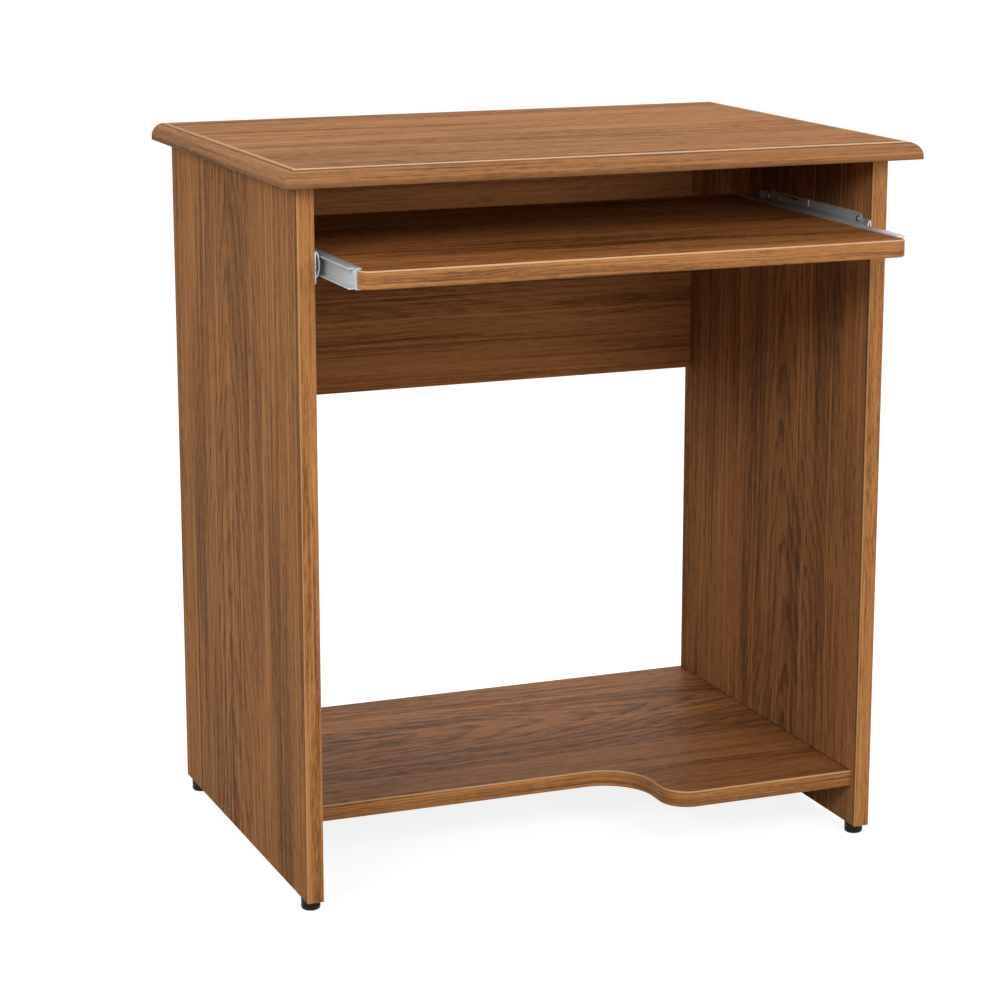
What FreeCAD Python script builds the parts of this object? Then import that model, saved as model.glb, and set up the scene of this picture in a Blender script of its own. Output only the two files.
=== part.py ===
import FreeCAD, Part
import math
import os

import Sketcher
from FreeCAD import Placement, Rotation, Vector

# Computer desk with a sliding keyboard tray, in millimetres.
# X runs to the right, Y to the rear and Z up. The origin is on the floor, in the middle of the
# footprint, with the tray drawn out as far as the photograph shows it.

doc = FreeCAD.newDocument("computer_desk")
sheet = doc.addObject("Spreadsheet::Sheet", "Sizes")


class Size:
    """A length that keeps its formula in sheet cells beside its value in millimetres."""

    def __init__(self, formula, value):
        self.formula = formula
        self.value = value

    def __add__(self, other):
        other = as_size(other)
        return Size(f"({self.formula} + {other.formula})", self.value + other.value)

    def __sub__(self, other):
        other = as_size(other)
        return Size(f"({self.formula} - {other.formula})", self.value - other.value)

    def __mul__(self, factor):
        return Size(f"({self.formula} * {factor})", self.value * factor)

    def __truediv__(self, divisor):
        return Size(f"({self.formula} / {divisor})", self.value / divisor)

    def __neg__(self):
        return Size(f"(0 - {self.formula})", -self.value)


def as_size(number):
    """A plain number as a Size, and a Size as it is."""
    if isinstance(number, Size):
        return number
    return Size(f"({number})", number)


sheet_rows = []


def driving(alias, value, meaning):
    """One row of the sheet: what the dimension measures, its value and its alias."""
    sheet_rows.append(alias)
    row = len(sheet_rows)
    sheet.set(f"A{row}", meaning)
    sheet.set(f"B{row}", str(value))
    sheet.setAlias(f"B{row}", alias)
    return Size(f"Sizes.{alias}", value)


# The desk as a whole
body_width = driving("body_width", 650, "width over the side panels")
body_depth = driving("body_depth", 450, "depth of the side panels")
desk_height = driving("desk_height", 767, "height of the top's upper face")
board = driving("board", 18, "thickness of every board")
band = driving("band", 2, "thickness of the edge bands")
arris = driving("arris", 1.8, "rounding of an edge band's corners")
side_overhang = driving("side_overhang", 22, "top beyond the side panels")
front_overhang = driving("front_overhang", 34, "top beyond the side panels' front edges")

# The moulding round the top
moulding = driving("moulding", 16, "width of the moulding")
moulding_round = driving("moulding_round", 14, "radius of the moulding's rounded face")
moulding_under_round = driving("moulding_under_round", 0.8, "radius of the moulding's lower edge")

# Feet
foot_height = driving("foot_height", 12, "height of a foot")
foot_width = driving("foot_width", 20, "diameter of a foot")
foot_edge = driving("foot_edge", 3, "rounding of a foot's sole")
foot_recess = driving("foot_recess", 10, "diameter of the screw's recess")
foot_recess_depth = driving("foot_recess_depth", 4, "depth of the screw's recess")
front_foot_inset = driving("front_foot_inset", 18, "front foot's centre from the panel's front edge")
rear_foot_inset = driving("rear_foot_inset", 26, "rear foot's centre from the panel's rear edge")

# Lower shelf and back panel
shelf_clearance = driving("shelf_clearance", 44, "shelf's underside above the panels' lower edges")
shelf_setback = driving("shelf_setback", 10, "shelf's front behind the panels' front edges")
notch_depth = driving("notch_depth", 104, "depth of the foot cut-out")
notch_width = driving("notch_width", 396, "width of the foot cut-out")
notch_inner_round = driving("notch_inner_round", 54, "radius of the cut-out's inner corner")
notch_outer_round = driving("notch_outer_round", 31, "radius of the cut-out's outer corner")
back_height = driving("back_height", 297, "height of the back panel")

# Keyboard tray
tray_top = driving("tray_top", 677, "height of the tray's upper face")
tray_depth = driving("tray_depth", 400, "depth of the tray")
tray_reach = driving("tray_reach", 68, "tray's front beyond the top's front, as photographed")
tray_corner = driving("tray_corner", 12, "radius of the tray's front corners")
tray_travel = driving("tray_travel", 240, "tray's whole travel, shut to fully open")

# Slides. Their sections are measured from the side panel's inner face towards the tray.
slide_gap = driving("slide_gap", 13, "gap between side panel and tray")
steel = driving("steel", 1.2, "thickness of the slides' steel")
rail_length = driving("rail_length", 258, "length of a rail")
rail_setback = driving("rail_setback", 1, "rail's nose behind the panel's front edge")
rail_half = driving("rail_half", 18, "half the height of a rail")
rib_half = driving("rib_half", 6.5, "half the height of the rail's rib")
rib_reach = driving("rib_reach", 10.4, "rib's reach from the side panel")
rib_bend = driving("rib_bend", 1.5, "outer radius of the rib's bends")
nose_length = driving("nose_length", 20, "length of the rail's low nose")
nose_top = driving("nose_top", 13, "nose's upper edge above the slide's middle")
nose_bare = driving("nose_bare", 6, "length of the nose without the rib")
rail_corner = driving("rail_corner", 4, "radius of the rail's corners")
slot_length = driving("slot_length", 16, "length of the rail's adjusting slots")
slot_width = driving("slot_width", 3.4, "width of the rail's adjusting slots")
nose_slot_length = driving("nose_slot_length", 9, "length of the slot in the nose")
nose_slot_width = driving("nose_slot_width", 1.8, "width of the slot in the nose")
channel_length = driving("channel_length", 380, "length of a tray channel")
channel_setback = driving("channel_setback", 14, "channel's front behind the tray's front")
upper_flange = driving("upper_flange", 5.5, "channel's flange over the tray")
lower_flange = driving("lower_flange", 8, "channel's flange under the tray")
lip_end = driving("lip_end", 6.2, "channel's lips from the side panel")
lip_short = driving("lip_short", 6, "channel's lips behind its front end")
ball = driving("ball", 3.2, "diameter of a ball")
ball_out = driving("ball_out", 8.6, "ball's centre from the side panel")
ball_up = driving("ball_up", 7.75, "ball's centre from the slide's middle")
race = driving("race", 3.5, "diameter of a ball groove")
ball_pitch = driving("ball_pitch", 12, "spacing of the balls")
cage_sheet = driving("cage_sheet", 0.8, "thickness of a ball cage")
cage_length = driving("cage_length", 111, "length of a ball cage")
cage_rest = driving("cage_rest", 84, "cage's front behind the panel's front edge, as photographed")
cage_clear = driving("cage_clear", 0.3, "cage to rail and channel")
cage_pocket = driving("cage_pocket", 3.4, "diameter of a ball pocket")
stop_tab = driving("stop_tab", 2.8, "length of a stop tab")
stop_width = driving("stop_width", 1.5, "width of a stop tab")
stop_height = driving("stop_height", 1.9, "height of a stop tab")
stop_gap = driving("stop_gap", 0.6, "stop tab to cage at the end of the travel")
stop_lane = driving("stop_lane", 0.25, "stop tabs beside the balls' centre line")

# Fittings
screw_shank = driving("screw_shank", 3.5, "diameter of the slides' screws")
screw_head = driving("screw_head", 6, "diameter of the slides' screw heads")
screw_head_height = driving("screw_head_height", 2, "height of the slides' screw heads")
rail_screw_length = driving("rail_screw_length", 14, "length of a rail screw")
rail_screw_up = driving("rail_screw_up", 13.8, "rail screws from the slide's middle")
tray_screw_length = driving("tray_screw_length", 12, "length of a tray screw")
tray_screw_in = driving("tray_screw_in", 4.4, "tray screws from the tray's side")
foot_shank = driving("foot_shank", 4, "diameter of the foot screws")
foot_head = driving("foot_head", 8, "diameter of the foot screws' heads")
foot_head_height = driving("foot_head_height", 2.5, "height of the foot screws' heads")
foot_screw_length = driving("foot_screw_length", 30, "length of a foot screw")
screw_tip = driving("screw_tip", 4, "length of a screw's point")
head_round = driving("head_round", 1.2, "rounding of a screw's head")
cross_arm = driving("cross_arm", 1.8, "half length of a driver cross")
cross_width = driving("cross_width", 0.9, "width of a driver cross")
cross_depth = driving("cross_depth", 1.2, "depth of a driver cross")
cam = driving("cam", 15, "diameter of a cam lock")
cam_height = driving("cam_height", 13.5, "height of a cam lock")
cam_sunk = driving("cam_sunk", 0.2, "cam lock's face below the board's face")
cam_bore = driving("cam_bore", 7.5, "diameter of the bolt's bore in a cam lock")
cam_cross = driving("cam_cross", 3.5, "half length of a cam lock's driver cross")
cam_cross_width = driving("cam_cross_width", 1.6, "width of a cam lock's driver cross")
cam_cross_depth = driving("cam_cross_depth", 3.4, "depth of a cam lock's driver cross")
cam_distance = driving("cam_distance", 24, "cam lock's centre from the joint")
bolt_thread = driving("bolt_thread", 6, "diameter of a cam bolt's thread")
bolt_thread_length = driving("bolt_thread_length", 11, "length of a cam bolt's thread")
bolt_collar = driving("bolt_collar", 7.6, "diameter of a cam bolt's collar")
bolt_collar_length = driving("bolt_collar_length", 1.5, "length of a cam bolt's collar")
bolt_stem = driving("bolt_stem", 5.5, "diameter of a cam bolt's stem")
bolt_neck = driving("bolt_neck", 3.8, "diameter of a cam bolt's neck")
bolt_neck_length = driving("bolt_neck_length", 4, "length of a cam bolt's neck")
bolt_head = driving("bolt_head", 6.6, "diameter of a cam bolt's head")
bolt_head_length = driving("bolt_head_length", 4, "length of a cam bolt's head")
bolt_way = driving("bolt_way", 8, "diameter of the bolt's way through a board")
dowel = driving("dowel", 8, "diameter of a dowel")
dowel_short = driving("dowel_short", 10, "dowel in the board's face")
dowel_long = driving("dowel_long", 20, "dowel in the board's edge")
dowel_chamfer = driving("dowel_chamfer", 1, "chamfer of a dowel's ends")
cap = driving("cap", 18, "diameter of a cover cap")
cap_height = driving("cap_height", 1.2, "height of a cover cap")
cap_round = driving("cap_round", 0.7, "rounding of a cover cap")
hole_clear = driving("hole_clear", 0.1, "hole wider than what it holds")
hole_bottom = driving("hole_bottom", 0.5, "hole deeper than what it holds")

# Where the fittings stand, measured back from the panels' front edges or up from a board's edge
shelf_cam_front = driving("shelf_cam_front", 150, "shelf's front cam bolts")
shelf_cam_rear = driving("shelf_cam_rear", 404, "shelf's rear cam bolts")
shelf_dowel_front = driving("shelf_dowel_front", 192, "shelf's front dowels")
shelf_dowel_rear = driving("shelf_dowel_rear", 362, "shelf's rear dowels")
top_cam_front = driving("top_cam_front", 190, "front cam bolts of the top")
top_cam_rear = driving("top_cam_rear", 350, "rear cam bolts of the top")
top_dowel_front = driving("top_dowel_front", 62, "front dowels of the top")
top_dowel_rear = driving("top_dowel_rear", 270, "rear dowels of the top")
back_cam_low = driving("back_cam_low", 45, "back panel's lower cam bolts")
back_cam_high = driving("back_cam_high", 225, "back panel's upper cam bolts")
back_dowel_low = driving("back_dowel_low", 95, "back panel's lower dowels")
back_dowel_high = driving("back_dowel_high", 180, "back panel's upper dowels")
back_top_dowel = driving("back_top_dowel", 140, "dowels between back panel and top, from the middle")
rail_screw_front = driving("rail_screw_front", 27, "rail's upper front screw")
rail_screw_rear = driving("rail_screw_rear", 236, "rail's upper rear screw")
rail_screw_low_front = driving("rail_screw_low_front", 66, "rail's lower front screw")
rail_screw_low_rear = driving("rail_screw_low_rear", 198, "rail's lower rear screw")
upper_slot_at = driving("upper_slot_at", 176, "rail's upper slot")
lower_slot_at = driving("lower_slot_at", 130, "rail's lower slot")
tray_screw_first = driving("tray_screw_first", 40, "first tray screw behind the channel's front")
tray_screw_pitch = driving("tray_screw_pitch", 150, "spacing of the tray screws")
doc.recompute()

# Counts of the small pieces
balls_per_row = 9
screws_per_channel = 3

# Places that follow from the driving dimensions
top_width = body_width + side_overhang * 2
top_depth = body_depth + front_overhang
rear_y = (top_depth + tray_reach) / 2
top_front_y = rear_y - top_depth
panel_front_y = top_front_y + front_overhang
tray_front_y = top_front_y - tray_reach
panel_outer_x = body_width / 2
panel_inner_x = panel_outer_x - board
tray_half = panel_inner_x - slide_gap
top_underside = desk_height - board
panel_height = top_underside - foot_height
panel_board_depth = body_depth - band * 2
shelf_underside = foot_height + shelf_clearance
shelf_mid_z = shelf_underside + board / 2
back_bottom = top_underside - back_height
tray_underside = tray_top - board
slide_z = tray_top - board / 2
tray_drawn = tray_reach + front_overhang
travel_left = tray_travel - tray_drawn

# Lengths and volumes below these count as nothing
least_length = 1e-6
least_cut = 1e-3

# Radius of a slot's round ends by its width, just under a half so that the ends keep a short flat
slot_end = 0.499


def hold(sketch, constraint, size):
    """Adds a constraint to a sketch and binds it to a size."""
    number = sketch.addConstraint(constraint)
    name = f"held_{number}"
    sketch.renameConstraint(number, name)
    sketch.setExpression(f"Constraints.{name}", size.formula)


def pin(sketch, geometry, point, x, y):
    """Holds a point of the sketch at its distances from the sketch's origin."""
    hold(sketch, Sketcher.Constraint("DistanceX", -1, 1, geometry, point, x.value), x)
    hold(sketch, Sketcher.Constraint("DistanceY", -1, 1, geometry, point, y.value), y)


def step_towards(start, end):
    """The way from one corner to the next as -1, 0 or 1 along each axis."""
    steps = []
    for axis in (0, 1):
        run = end[axis].value - start[axis].value
        steps.append((run > least_length) - (run < -least_length))
    return steps


def outline(sketch, corners):
    """Draws a closed outline. A corner is (x, y), or (x, y, radius) where a square corner is rounded."""
    corners = [[as_size(part) for part in corner] for corner in corners]
    count = len(corners)
    arrivals = []
    departures = []
    for number, corner in enumerate(corners):
        if len(corner) == 2:
            arrivals.append(corner)
            departures.append(corner)
            continue
        x, y, radius = corner
        back_x, back_y = step_towards(corner, corners[number - 1])
        on_x, on_y = step_towards(corner, corners[(number + 1) % count])
        arrivals.append((x + radius * back_x, y + radius * back_y))
        departures.append((x + radius * on_x, y + radius * on_y))
    lines = []
    for number in range(count):
        start = departures[number]
        end = arrivals[(number + 1) % count]
        line = Part.LineSegment(Vector(start[0].value, start[1].value), Vector(end[0].value, end[1].value))
        lines.append(sketch.addGeometry(line, False))
    for number, corner in enumerate(corners):
        before = lines[number - 1]
        after = lines[number]
        pin(sketch, after, 1, *departures[number])
        if len(corner) == 2:
            sketch.addConstraint(Sketcher.Constraint("Coincident", before, 2, after, 1))
            continue
        pin(sketch, before, 2, *arrivals[number])
        round_corner(sketch, arrivals[number], departures[number], corner, before, after)


def round_corner(sketch, arrival, departure, corner, before, after):
    """Joins two square runs of an outline with an arc of the corner's radius."""
    x, y, radius = [size.value for size in corner]
    centre = Vector(arrival[0].value + departure[0].value - x, arrival[1].value + departure[1].value - y)
    angles = []
    for point in (arrival, departure):
        angles.append(math.atan2(point[1].value - centre.y, point[0].value - centre.x))
    turns_left = (angles[1] - angles[0]) % (2 * math.pi) < math.pi
    first, last = angles if turns_left else reversed(angles)
    circle_of_arc = Part.Circle(centre, Vector(0, 0, 1), radius)
    arc = sketch.addGeometry(Part.ArcOfCircle(circle_of_arc, first, last), False)
    arc_start, arc_end = (1, 2) if turns_left else (2, 1)
    sketch.addConstraint(Sketcher.Constraint("Coincident", before, 2, arc, arc_start))
    sketch.addConstraint(Sketcher.Constraint("Coincident", arc, arc_end, after, 1))
    hold(sketch, Sketcher.Constraint("Radius", arc, radius), corner[2])


def circle(sketch, x, y, diameter):
    """Draws a circle round a point."""
    x, y, diameter = as_size(x), as_size(y), as_size(diameter)
    shape = Part.Circle(Vector(x.value, y.value), Vector(0, 0, 1), diameter.value / 2)
    number = sketch.addGeometry(shape, False)
    pin(sketch, number, 3, x, y)
    hold(sketch, Sketcher.Constraint("Diameter", number, diameter.value), diameter)


def rectangle(sketch, left, low, right, high):
    """Draws a rectangle between two corners."""
    outline(sketch, [(left, low), (right, low), (right, high), (left, high)])


def cross(sketch, arm, width):
    """Draws a driver cross round the sketch's origin."""
    half = width / 2
    outline(sketch, [
        (half, half), (half, arm), (-half, arm), (-half, half), (-arm, half), (-arm, -half),
        (-half, -half), (-half, -arm), (half, -arm), (half, -half), (arm, -half), (arm, half)])


def slot(sketch, middle, height, length, width):
    """Draws a slot with round ends, lying along the sketch's first axis."""
    left = middle - length / 2
    right = middle + length / 2
    low = height - width / 2
    high = height + width / 2
    end = width * slot_end
    outline(sketch, [(left, low, end), (right, low, end), (right, high, end), (left, high, end)])


def new_body(label):
    """An empty body with its own label."""
    body = doc.addObject("PartDesign::Body", label)
    body.Label = label
    return body


def sketch_on(body, name, plane, offset=None):
    """A sketch on an origin plane of the body, or at an offset along that plane's normal."""
    sketch = body.newObject("Sketcher::SketchObject", f"{body.Label}_{name}")
    support = next(feature for feature in body.Origin.OriginFeatures if feature.Role == plane)
    sketch.AttachmentSupport = [(support, "")]
    sketch.MapMode = "FlatFace"
    if offset is not None:
        sketch.setExpression("AttachmentOffset.Base.z", as_size(offset).formula)
    return sketch


def pad(body, sketch, length, against_normal=False, both_ways=False):
    """Raises a sketch into a solid."""
    feature = body.newObject("PartDesign::Pad", f"{sketch.Name}_pad")
    feature.Profile = sketch
    feature.setExpression("Length", as_size(length).formula)
    feature.Reversed = against_normal
    if both_ways:
        feature.SideType = "Symmetric"
    doc.recompute()
    return feature


def pocket(body, sketch, depth, along_normal=False):
    """Cuts a sketch into the body, against the sketch's normal unless it says along it."""
    volume = body.Shape.Volume
    feature = body.newObject("PartDesign::Pocket", f"{sketch.Name}_pocket")
    feature.Profile = sketch
    feature.setExpression("Length", as_size(depth).formula)
    feature.Reversed = along_normal
    doc.recompute()
    if body.Shape.Volume > volume - least_cut:
        raise ValueError(f"{sketch.Name} cuts nothing")
    return feature


def revolve(body, sketch):
    """Turns a sketch round its upright axis."""
    feature = body.newObject("PartDesign::Revolution", f"{sketch.Name}_turned")
    feature.Profile = sketch
    feature.ReferenceAxis = (sketch, ["V_Axis"])
    doc.recompute()
    return feature


def round_edges(body, feature, radius, wanted):
    """Rounds the edges of the body's last feature that the test picks out."""
    names = []
    for number, edge in enumerate(feature.Shape.Edges, start=1):
        middle = edge.valueAt((edge.FirstParameter + edge.LastParameter) / 2)
        if wanted(edge, middle):
            names.append(f"Edge{number}")
    rounded = body.newObject("PartDesign::Fillet", f"{body.Label}_arris")
    rounded.Base = (feature, names)
    rounded.setExpression("Radius", radius.formula)
    doc.recompute()


def drill(body, name, plane, offset, holes, depth, along_normal=False):
    """Drills round holes, each given as (x, y, diameter) on the plane, to one depth."""
    sketch = sketch_on(body, name, plane, offset)
    for x, y, diameter in holes:
        circle(sketch, x, y, diameter)
    pocket(body, sketch, depth, along_normal)


def place(thing, x, y, z):
    """Binds the place of an object in the desk."""
    for axis, size in zip("xyz", (x, y, z)):
        thing.setExpression(f"Placement.Base.{axis}", as_size(size).formula)


nodes = []


def node(thing):
    """Counts an object as a sub-part of the desk."""
    nodes.append(thing)
    return thing


def mirrored(label, source):
    """The right-hand piece that answers a left-hand one."""
    twin = doc.addObject("Part::Mirroring", label)
    twin.Label = label
    twin.Source = source
    twin.Normal = Vector(1, 0, 0)
    return twin


def copies(label, master, places, turn=Rotation()):
    """Copies of a master piece at several places, all turned alike, gathered under one label."""
    links = []
    for number, spot in enumerate(places, start=1):
        link = doc.addObject("App::Link", f"{label}_{number}")
        link.LinkedObject = master
        link.Placement = Placement(Vector(), turn)
        place(link, *spot)
        links.append(link)
    return gathered(label, links)


def gathered(label, members):
    """Several separate solids under one label."""
    group = doc.addObject("Part::Compound", label)
    group.Label = label
    group.Links = members
    return group


def on_both_sides(label, left_group):
    """A left-hand group and its mirror image under one label."""
    return gathered(label, [left_group, mirrored(f"{label}_right", left_group)])


# Masters of the fittings. Each stands on its own origin and is copied to its places later.

def turned_master(label, profile):
    """A fitting turned from a half profile of (radius, height) corners."""
    body = new_body(label)
    sketch = sketch_on(body, "profile", "XZ_Plane")
    outline(sketch, profile)
    revolve(body, sketch)
    return body


def screw_master(label, head, head_height, shank, length):
    """A pan-head wood screw, its head standing on the origin and its point down."""
    body = turned_master(label, [
        (0, head_height), (head / 2, head_height, head_round), (head / 2, 0), (shank / 2, 0),
        (shank / 2, screw_tip - length), (0, -length)])
    recess = sketch_on(body, "recess", "XY_Plane", head_height)
    cross(recess, cross_arm, cross_width)
    pocket(body, recess, cross_depth)
    return body


rail_screw = screw_master("rail_screw", screw_head, screw_head_height, screw_shank, rail_screw_length)
tray_screw = screw_master("tray_screw", screw_head, screw_head_height, screw_shank, tray_screw_length)
foot_screw = screw_master("foot_screw", foot_head, foot_head_height, foot_shank, foot_screw_length)

# A cam lock lies with its face up on the origin, and its bolt comes in along X at mid board.
cam_lock = new_body("cam_lock")
cam_outline = sketch_on(cam_lock, "outline", "XY_Plane", -cam_sunk)
circle(cam_outline, 0, 0, cam)
pad(cam_lock, cam_outline, cam_height, against_normal=True)
cam_recess = sketch_on(cam_lock, "recess", "XY_Plane", -cam_sunk)
cross(cam_recess, cam_cross, cam_cross_width)
pocket(cam_lock, cam_recess, cam_cross_depth)
drill(cam_lock, "bore", "YZ_Plane", -bolt_head_length, [(0, -board / 2, cam_bore)], cam, along_normal=True)

# A cam bolt stands with its thread below the joint and its head up in the cam lock.
neck_start = cam_distance - bolt_neck_length
head_end = cam_distance + bolt_head_length / 2
cam_bolt = turned_master("cam_bolt", [
    (0, -bolt_thread_length), (bolt_thread / 2, -bolt_thread_length), (bolt_thread / 2, 0),
    (bolt_collar / 2, 0), (bolt_collar / 2, bolt_collar_length), (bolt_stem / 2, bolt_collar_length),
    (bolt_stem / 2, neck_start - bolt_neck_length / 2), (bolt_neck / 2, neck_start),
    (bolt_neck / 2, head_end - bolt_head_length), (bolt_head / 2, head_end - bolt_head_length),
    (bolt_head / 2, head_end), (0, head_end)])

# A dowel stands with its short end below the joint.
dowel_pin = turned_master("dowel_pin", [
    (0, -dowel_short), (dowel / 2 - dowel_chamfer, -dowel_short),
    (dowel / 2, dowel_chamfer - dowel_short), (dowel / 2, dowel_long - dowel_chamfer),
    (dowel / 2 - dowel_chamfer, dowel_long), (0, dowel_long)])

cover_cap = turned_master("cover_cap", [
    (0, 0), (cap / 2, 0), (cap / 2, cap_height, cap_round), (0, cap_height)])

ball_master = doc.addObject("Part::Sphere", "ball_master")
ball_master.setExpression("Radius", (ball / 2).formula)

# Hole sizes that the fittings need
dowel_hole = dowel + hole_clear
dowel_short_hole = dowel_short + hole_bottom
dowel_long_hole = dowel_long + hole_bottom
thread_hole = bolt_thread + hole_clear
thread_hole_depth = bolt_thread_length + hole_bottom
cam_hole = cam + hole_clear
cam_hole_depth = cam_height + cam_sunk + hole_clear
screw_hole = screw_shank + hole_clear
foot_screw_hole = foot_shank + hole_clear

# Left side panel, drilled on its inner face and on its upper and lower edges

def behind_front(distance):
    """A distance behind the finished front edge, on the side panel's bare board."""
    return distance - band


left_panel = node(new_body("left_side_panel"))
panel_outline = sketch_on(left_panel, "outline", "YZ_Plane")
rectangle(panel_outline, 0, 0, panel_board_depth, panel_height)
pad(left_panel, panel_outline, board)
place(left_panel, -panel_outer_x, panel_front_y + band, foot_height)

shelf_line = shelf_mid_z - foot_height
back_line = panel_board_depth + band - board / 2
back_foot = back_bottom - foot_height
cam_line = panel_height - cam_distance
slide_line = slide_z - foot_height
drill(left_panel, "bolts", "YZ_Plane", board, [
    (behind_front(shelf_cam_front), shelf_line, thread_hole),
    (behind_front(shelf_cam_rear), shelf_line, thread_hole),
    (back_line, back_foot + back_cam_low, thread_hole),
    (back_line, back_foot + back_cam_high, thread_hole)], thread_hole_depth)
drill(left_panel, "dowels", "YZ_Plane", board, [
    (behind_front(shelf_dowel_front), shelf_line, dowel_hole),
    (behind_front(shelf_dowel_rear), shelf_line, dowel_hole),
    (back_line, back_foot + back_dowel_low, dowel_hole),
    (back_line, back_foot + back_dowel_high, dowel_hole)], dowel_short_hole)
rail_screw_spots = [
    (rail_screw_front, rail_screw_up), (rail_screw_rear, rail_screw_up),
    (rail_screw_low_front, -rail_screw_up), (rail_screw_low_rear, -rail_screw_up)]
drill(left_panel, "rail_screws", "YZ_Plane", board, [
    (behind_front(back), slide_line + up, screw_hole) for back, up in rail_screw_spots],
    rail_screw_length)
drill(left_panel, "cams", "YZ_Plane", board, [
    (behind_front(back), cam_line, cam_hole) for back in (top_cam_front, top_cam_rear)], cam_hole_depth)
drill(left_panel, "bolt_ways", "XY_Plane", panel_height, [
    (board / 2, behind_front(back), bolt_way) for back in (top_cam_front, top_cam_rear)], cam_distance)
drill(left_panel, "top_dowels", "XY_Plane", panel_height, [
    (board / 2, behind_front(back), dowel_hole) for back in (top_dowel_front, top_dowel_rear)],
    dowel_long_hole)
foot_spots = {"front": front_foot_inset, "rear": body_depth - rear_foot_inset}
drill(left_panel, "foot_screws", "XY_Plane", None, [
    (board / 2, behind_front(back), foot_screw_hole) for back in foot_spots.values()],
    foot_screw_length, along_normal=True)
node(mirrored("right_side_panel", left_panel))

# Edge bands of the side panels, with rounded outer corners

def upright_band(label, front):
    """A band on the front or the rear edge of the left side panel."""
    body = node(new_body(label))
    sketch = sketch_on(body, "outline", "XY_Plane")
    if front:
        outline(sketch, [(0, 0, arris), (board, 0, arris), (board, band), (0, band)])
    else:
        outline(sketch, [(0, 0), (board, 0), (board, band, arris), (0, band, arris)])
    pad(body, sketch, panel_height)
    place(body, -panel_outer_x, panel_front_y if front else rear_y - band, foot_height)
    return body


for end in ("front", "rear"):
    left_band = upright_band(f"left_side_{end}_edge_band", end == "front")
    node(mirrored(f"right_side_{end}_edge_band", left_band))

# Top board, drilled from below

top_board = node(new_body("top_board"))
top_outline = sketch_on(top_board, "outline", "XY_Plane")
core_half = top_width / 2 - moulding
core_depth = top_depth - moulding - band
rectangle(top_outline, -core_half, 0, core_half, core_depth)
pad(top_board, top_outline, board)
place(top_board, 0, top_front_y + moulding, top_underside)
panel_mid_x = panel_inner_x + board / 2
core_to_panel = front_overhang - moulding
back_mid_y = core_depth + band - board / 2
drill(top_board, "bolts", "XY_Plane", None, [
    (panel_mid_x * side, core_to_panel + back, thread_hole)
    for side in (-1, 1) for back in (top_cam_front, top_cam_rear)], thread_hole_depth, along_normal=True)
drill(top_board, "side_dowels", "XY_Plane", None, [
    (panel_mid_x * side, core_to_panel + back, dowel_hole)
    for side in (-1, 1) for back in (top_dowel_front, top_dowel_rear)], dowel_short_hole, along_normal=True)
drill(top_board, "back_dowels", "XY_Plane", None, [
    (back_top_dowel * side, back_mid_y, dowel_hole) for side in (-1, 1)],
    dowel_short_hole, along_normal=True)

# Mouldings: a quarter round that starts flush with the board, mitred where they meet at the front corners

def moulding_section(outer, inner):
    """The moulding's section between its outer face and the board, standing on its underside."""
    return [(inner, 0), (outer, 0, moulding_under_round), (outer, board, moulding_round), (inner, board)]


side_moulding = node(new_body("top_left_moulding"))
side_section = sketch_on(side_moulding, "section", "XZ_Plane")
outline(side_section, moulding_section(-moulding, as_size(0)))
pad(side_moulding, side_section, top_depth, against_normal=True)
side_mitre = sketch_on(side_moulding, "mitre", "XY_Plane", board)
outline(side_mitre, [(-moulding, 0), (0, 0), (0, moulding)])
pocket(side_moulding, side_mitre, board)
place(side_moulding, -core_half, top_front_y, top_underside)
node(mirrored("top_right_moulding", side_moulding))

front_moulding = node(new_body("top_front_moulding"))
front_section = sketch_on(front_moulding, "section", "YZ_Plane")
outline(front_section, moulding_section(as_size(0), moulding))
pad(front_moulding, front_section, top_width, both_ways=True)
front_mitres = sketch_on(front_moulding, "mitres", "XY_Plane", board)
for side in (-1, 1):
    outline(front_mitres, [
        (top_width * side / 2, 0), (core_half * side, moulding), (top_width * side / 2, moulding)])
pocket(front_moulding, front_mitres, board)
place(front_moulding, 0, top_front_y, top_underside)

# Straight bands that lie across the desk

def lying_band(label, half_width, section, x, y, z):
    """A band that runs across the desk with the given (y, z) section."""
    body = node(new_body(label))
    sketch = sketch_on(body, "section", "YZ_Plane")
    outline(sketch, section)
    pad(body, sketch, half_width * 2, both_ways=True)
    place(body, x, y, z)


rear_section = [(0, 0), (band, 0, arris), (band, board, arris), (0, board)]
lower_section = [(0, 0, arris), (board, 0, arris), (board, band), (0, band)]
lying_band("top_rear_edge_band", core_half, rear_section, 0, rear_y - band, top_underside)
lying_band("shelf_rear_edge_band", panel_inner_x, rear_section, 0, rear_y - band, shelf_underside)
lying_band("back_panel_bottom_edge_band", panel_inner_x, lower_section, 0, rear_y - board, back_bottom)

# Back panel, drilled on its ends, its upper edge and its rear face

back_panel = node(new_body("back_panel"))
back_board_height = back_height - band
back_outline = sketch_on(back_panel, "outline", "XZ_Plane")
rectangle(back_outline, -panel_inner_x, 0, panel_inner_x, back_board_height)
pad(back_panel, back_outline, board, against_normal=True)
place(back_panel, 0, rear_y - board, back_bottom + band)
back_cams = (back_cam_low, back_cam_high)
back_dowels = (back_dowel_low, back_dowel_high)
for end, offset, inward in (("left", -panel_inner_x, True), ("right", panel_inner_x, False)):
    drill(back_panel, f"{end}_bolt_ways", "YZ_Plane", offset, [
        (board / 2, up - band, bolt_way) for up in back_cams], cam_distance, along_normal=inward)
    drill(back_panel, f"{end}_dowels", "YZ_Plane", offset, [
        (board / 2, up - band, dowel_hole) for up in back_dowels], dowel_long_hole, along_normal=inward)
drill(back_panel, "top_dowels", "XY_Plane", back_board_height, [
    (back_top_dowel * side, board / 2, dowel_hole) for side in (-1, 1)], dowel_long_hole)
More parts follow.
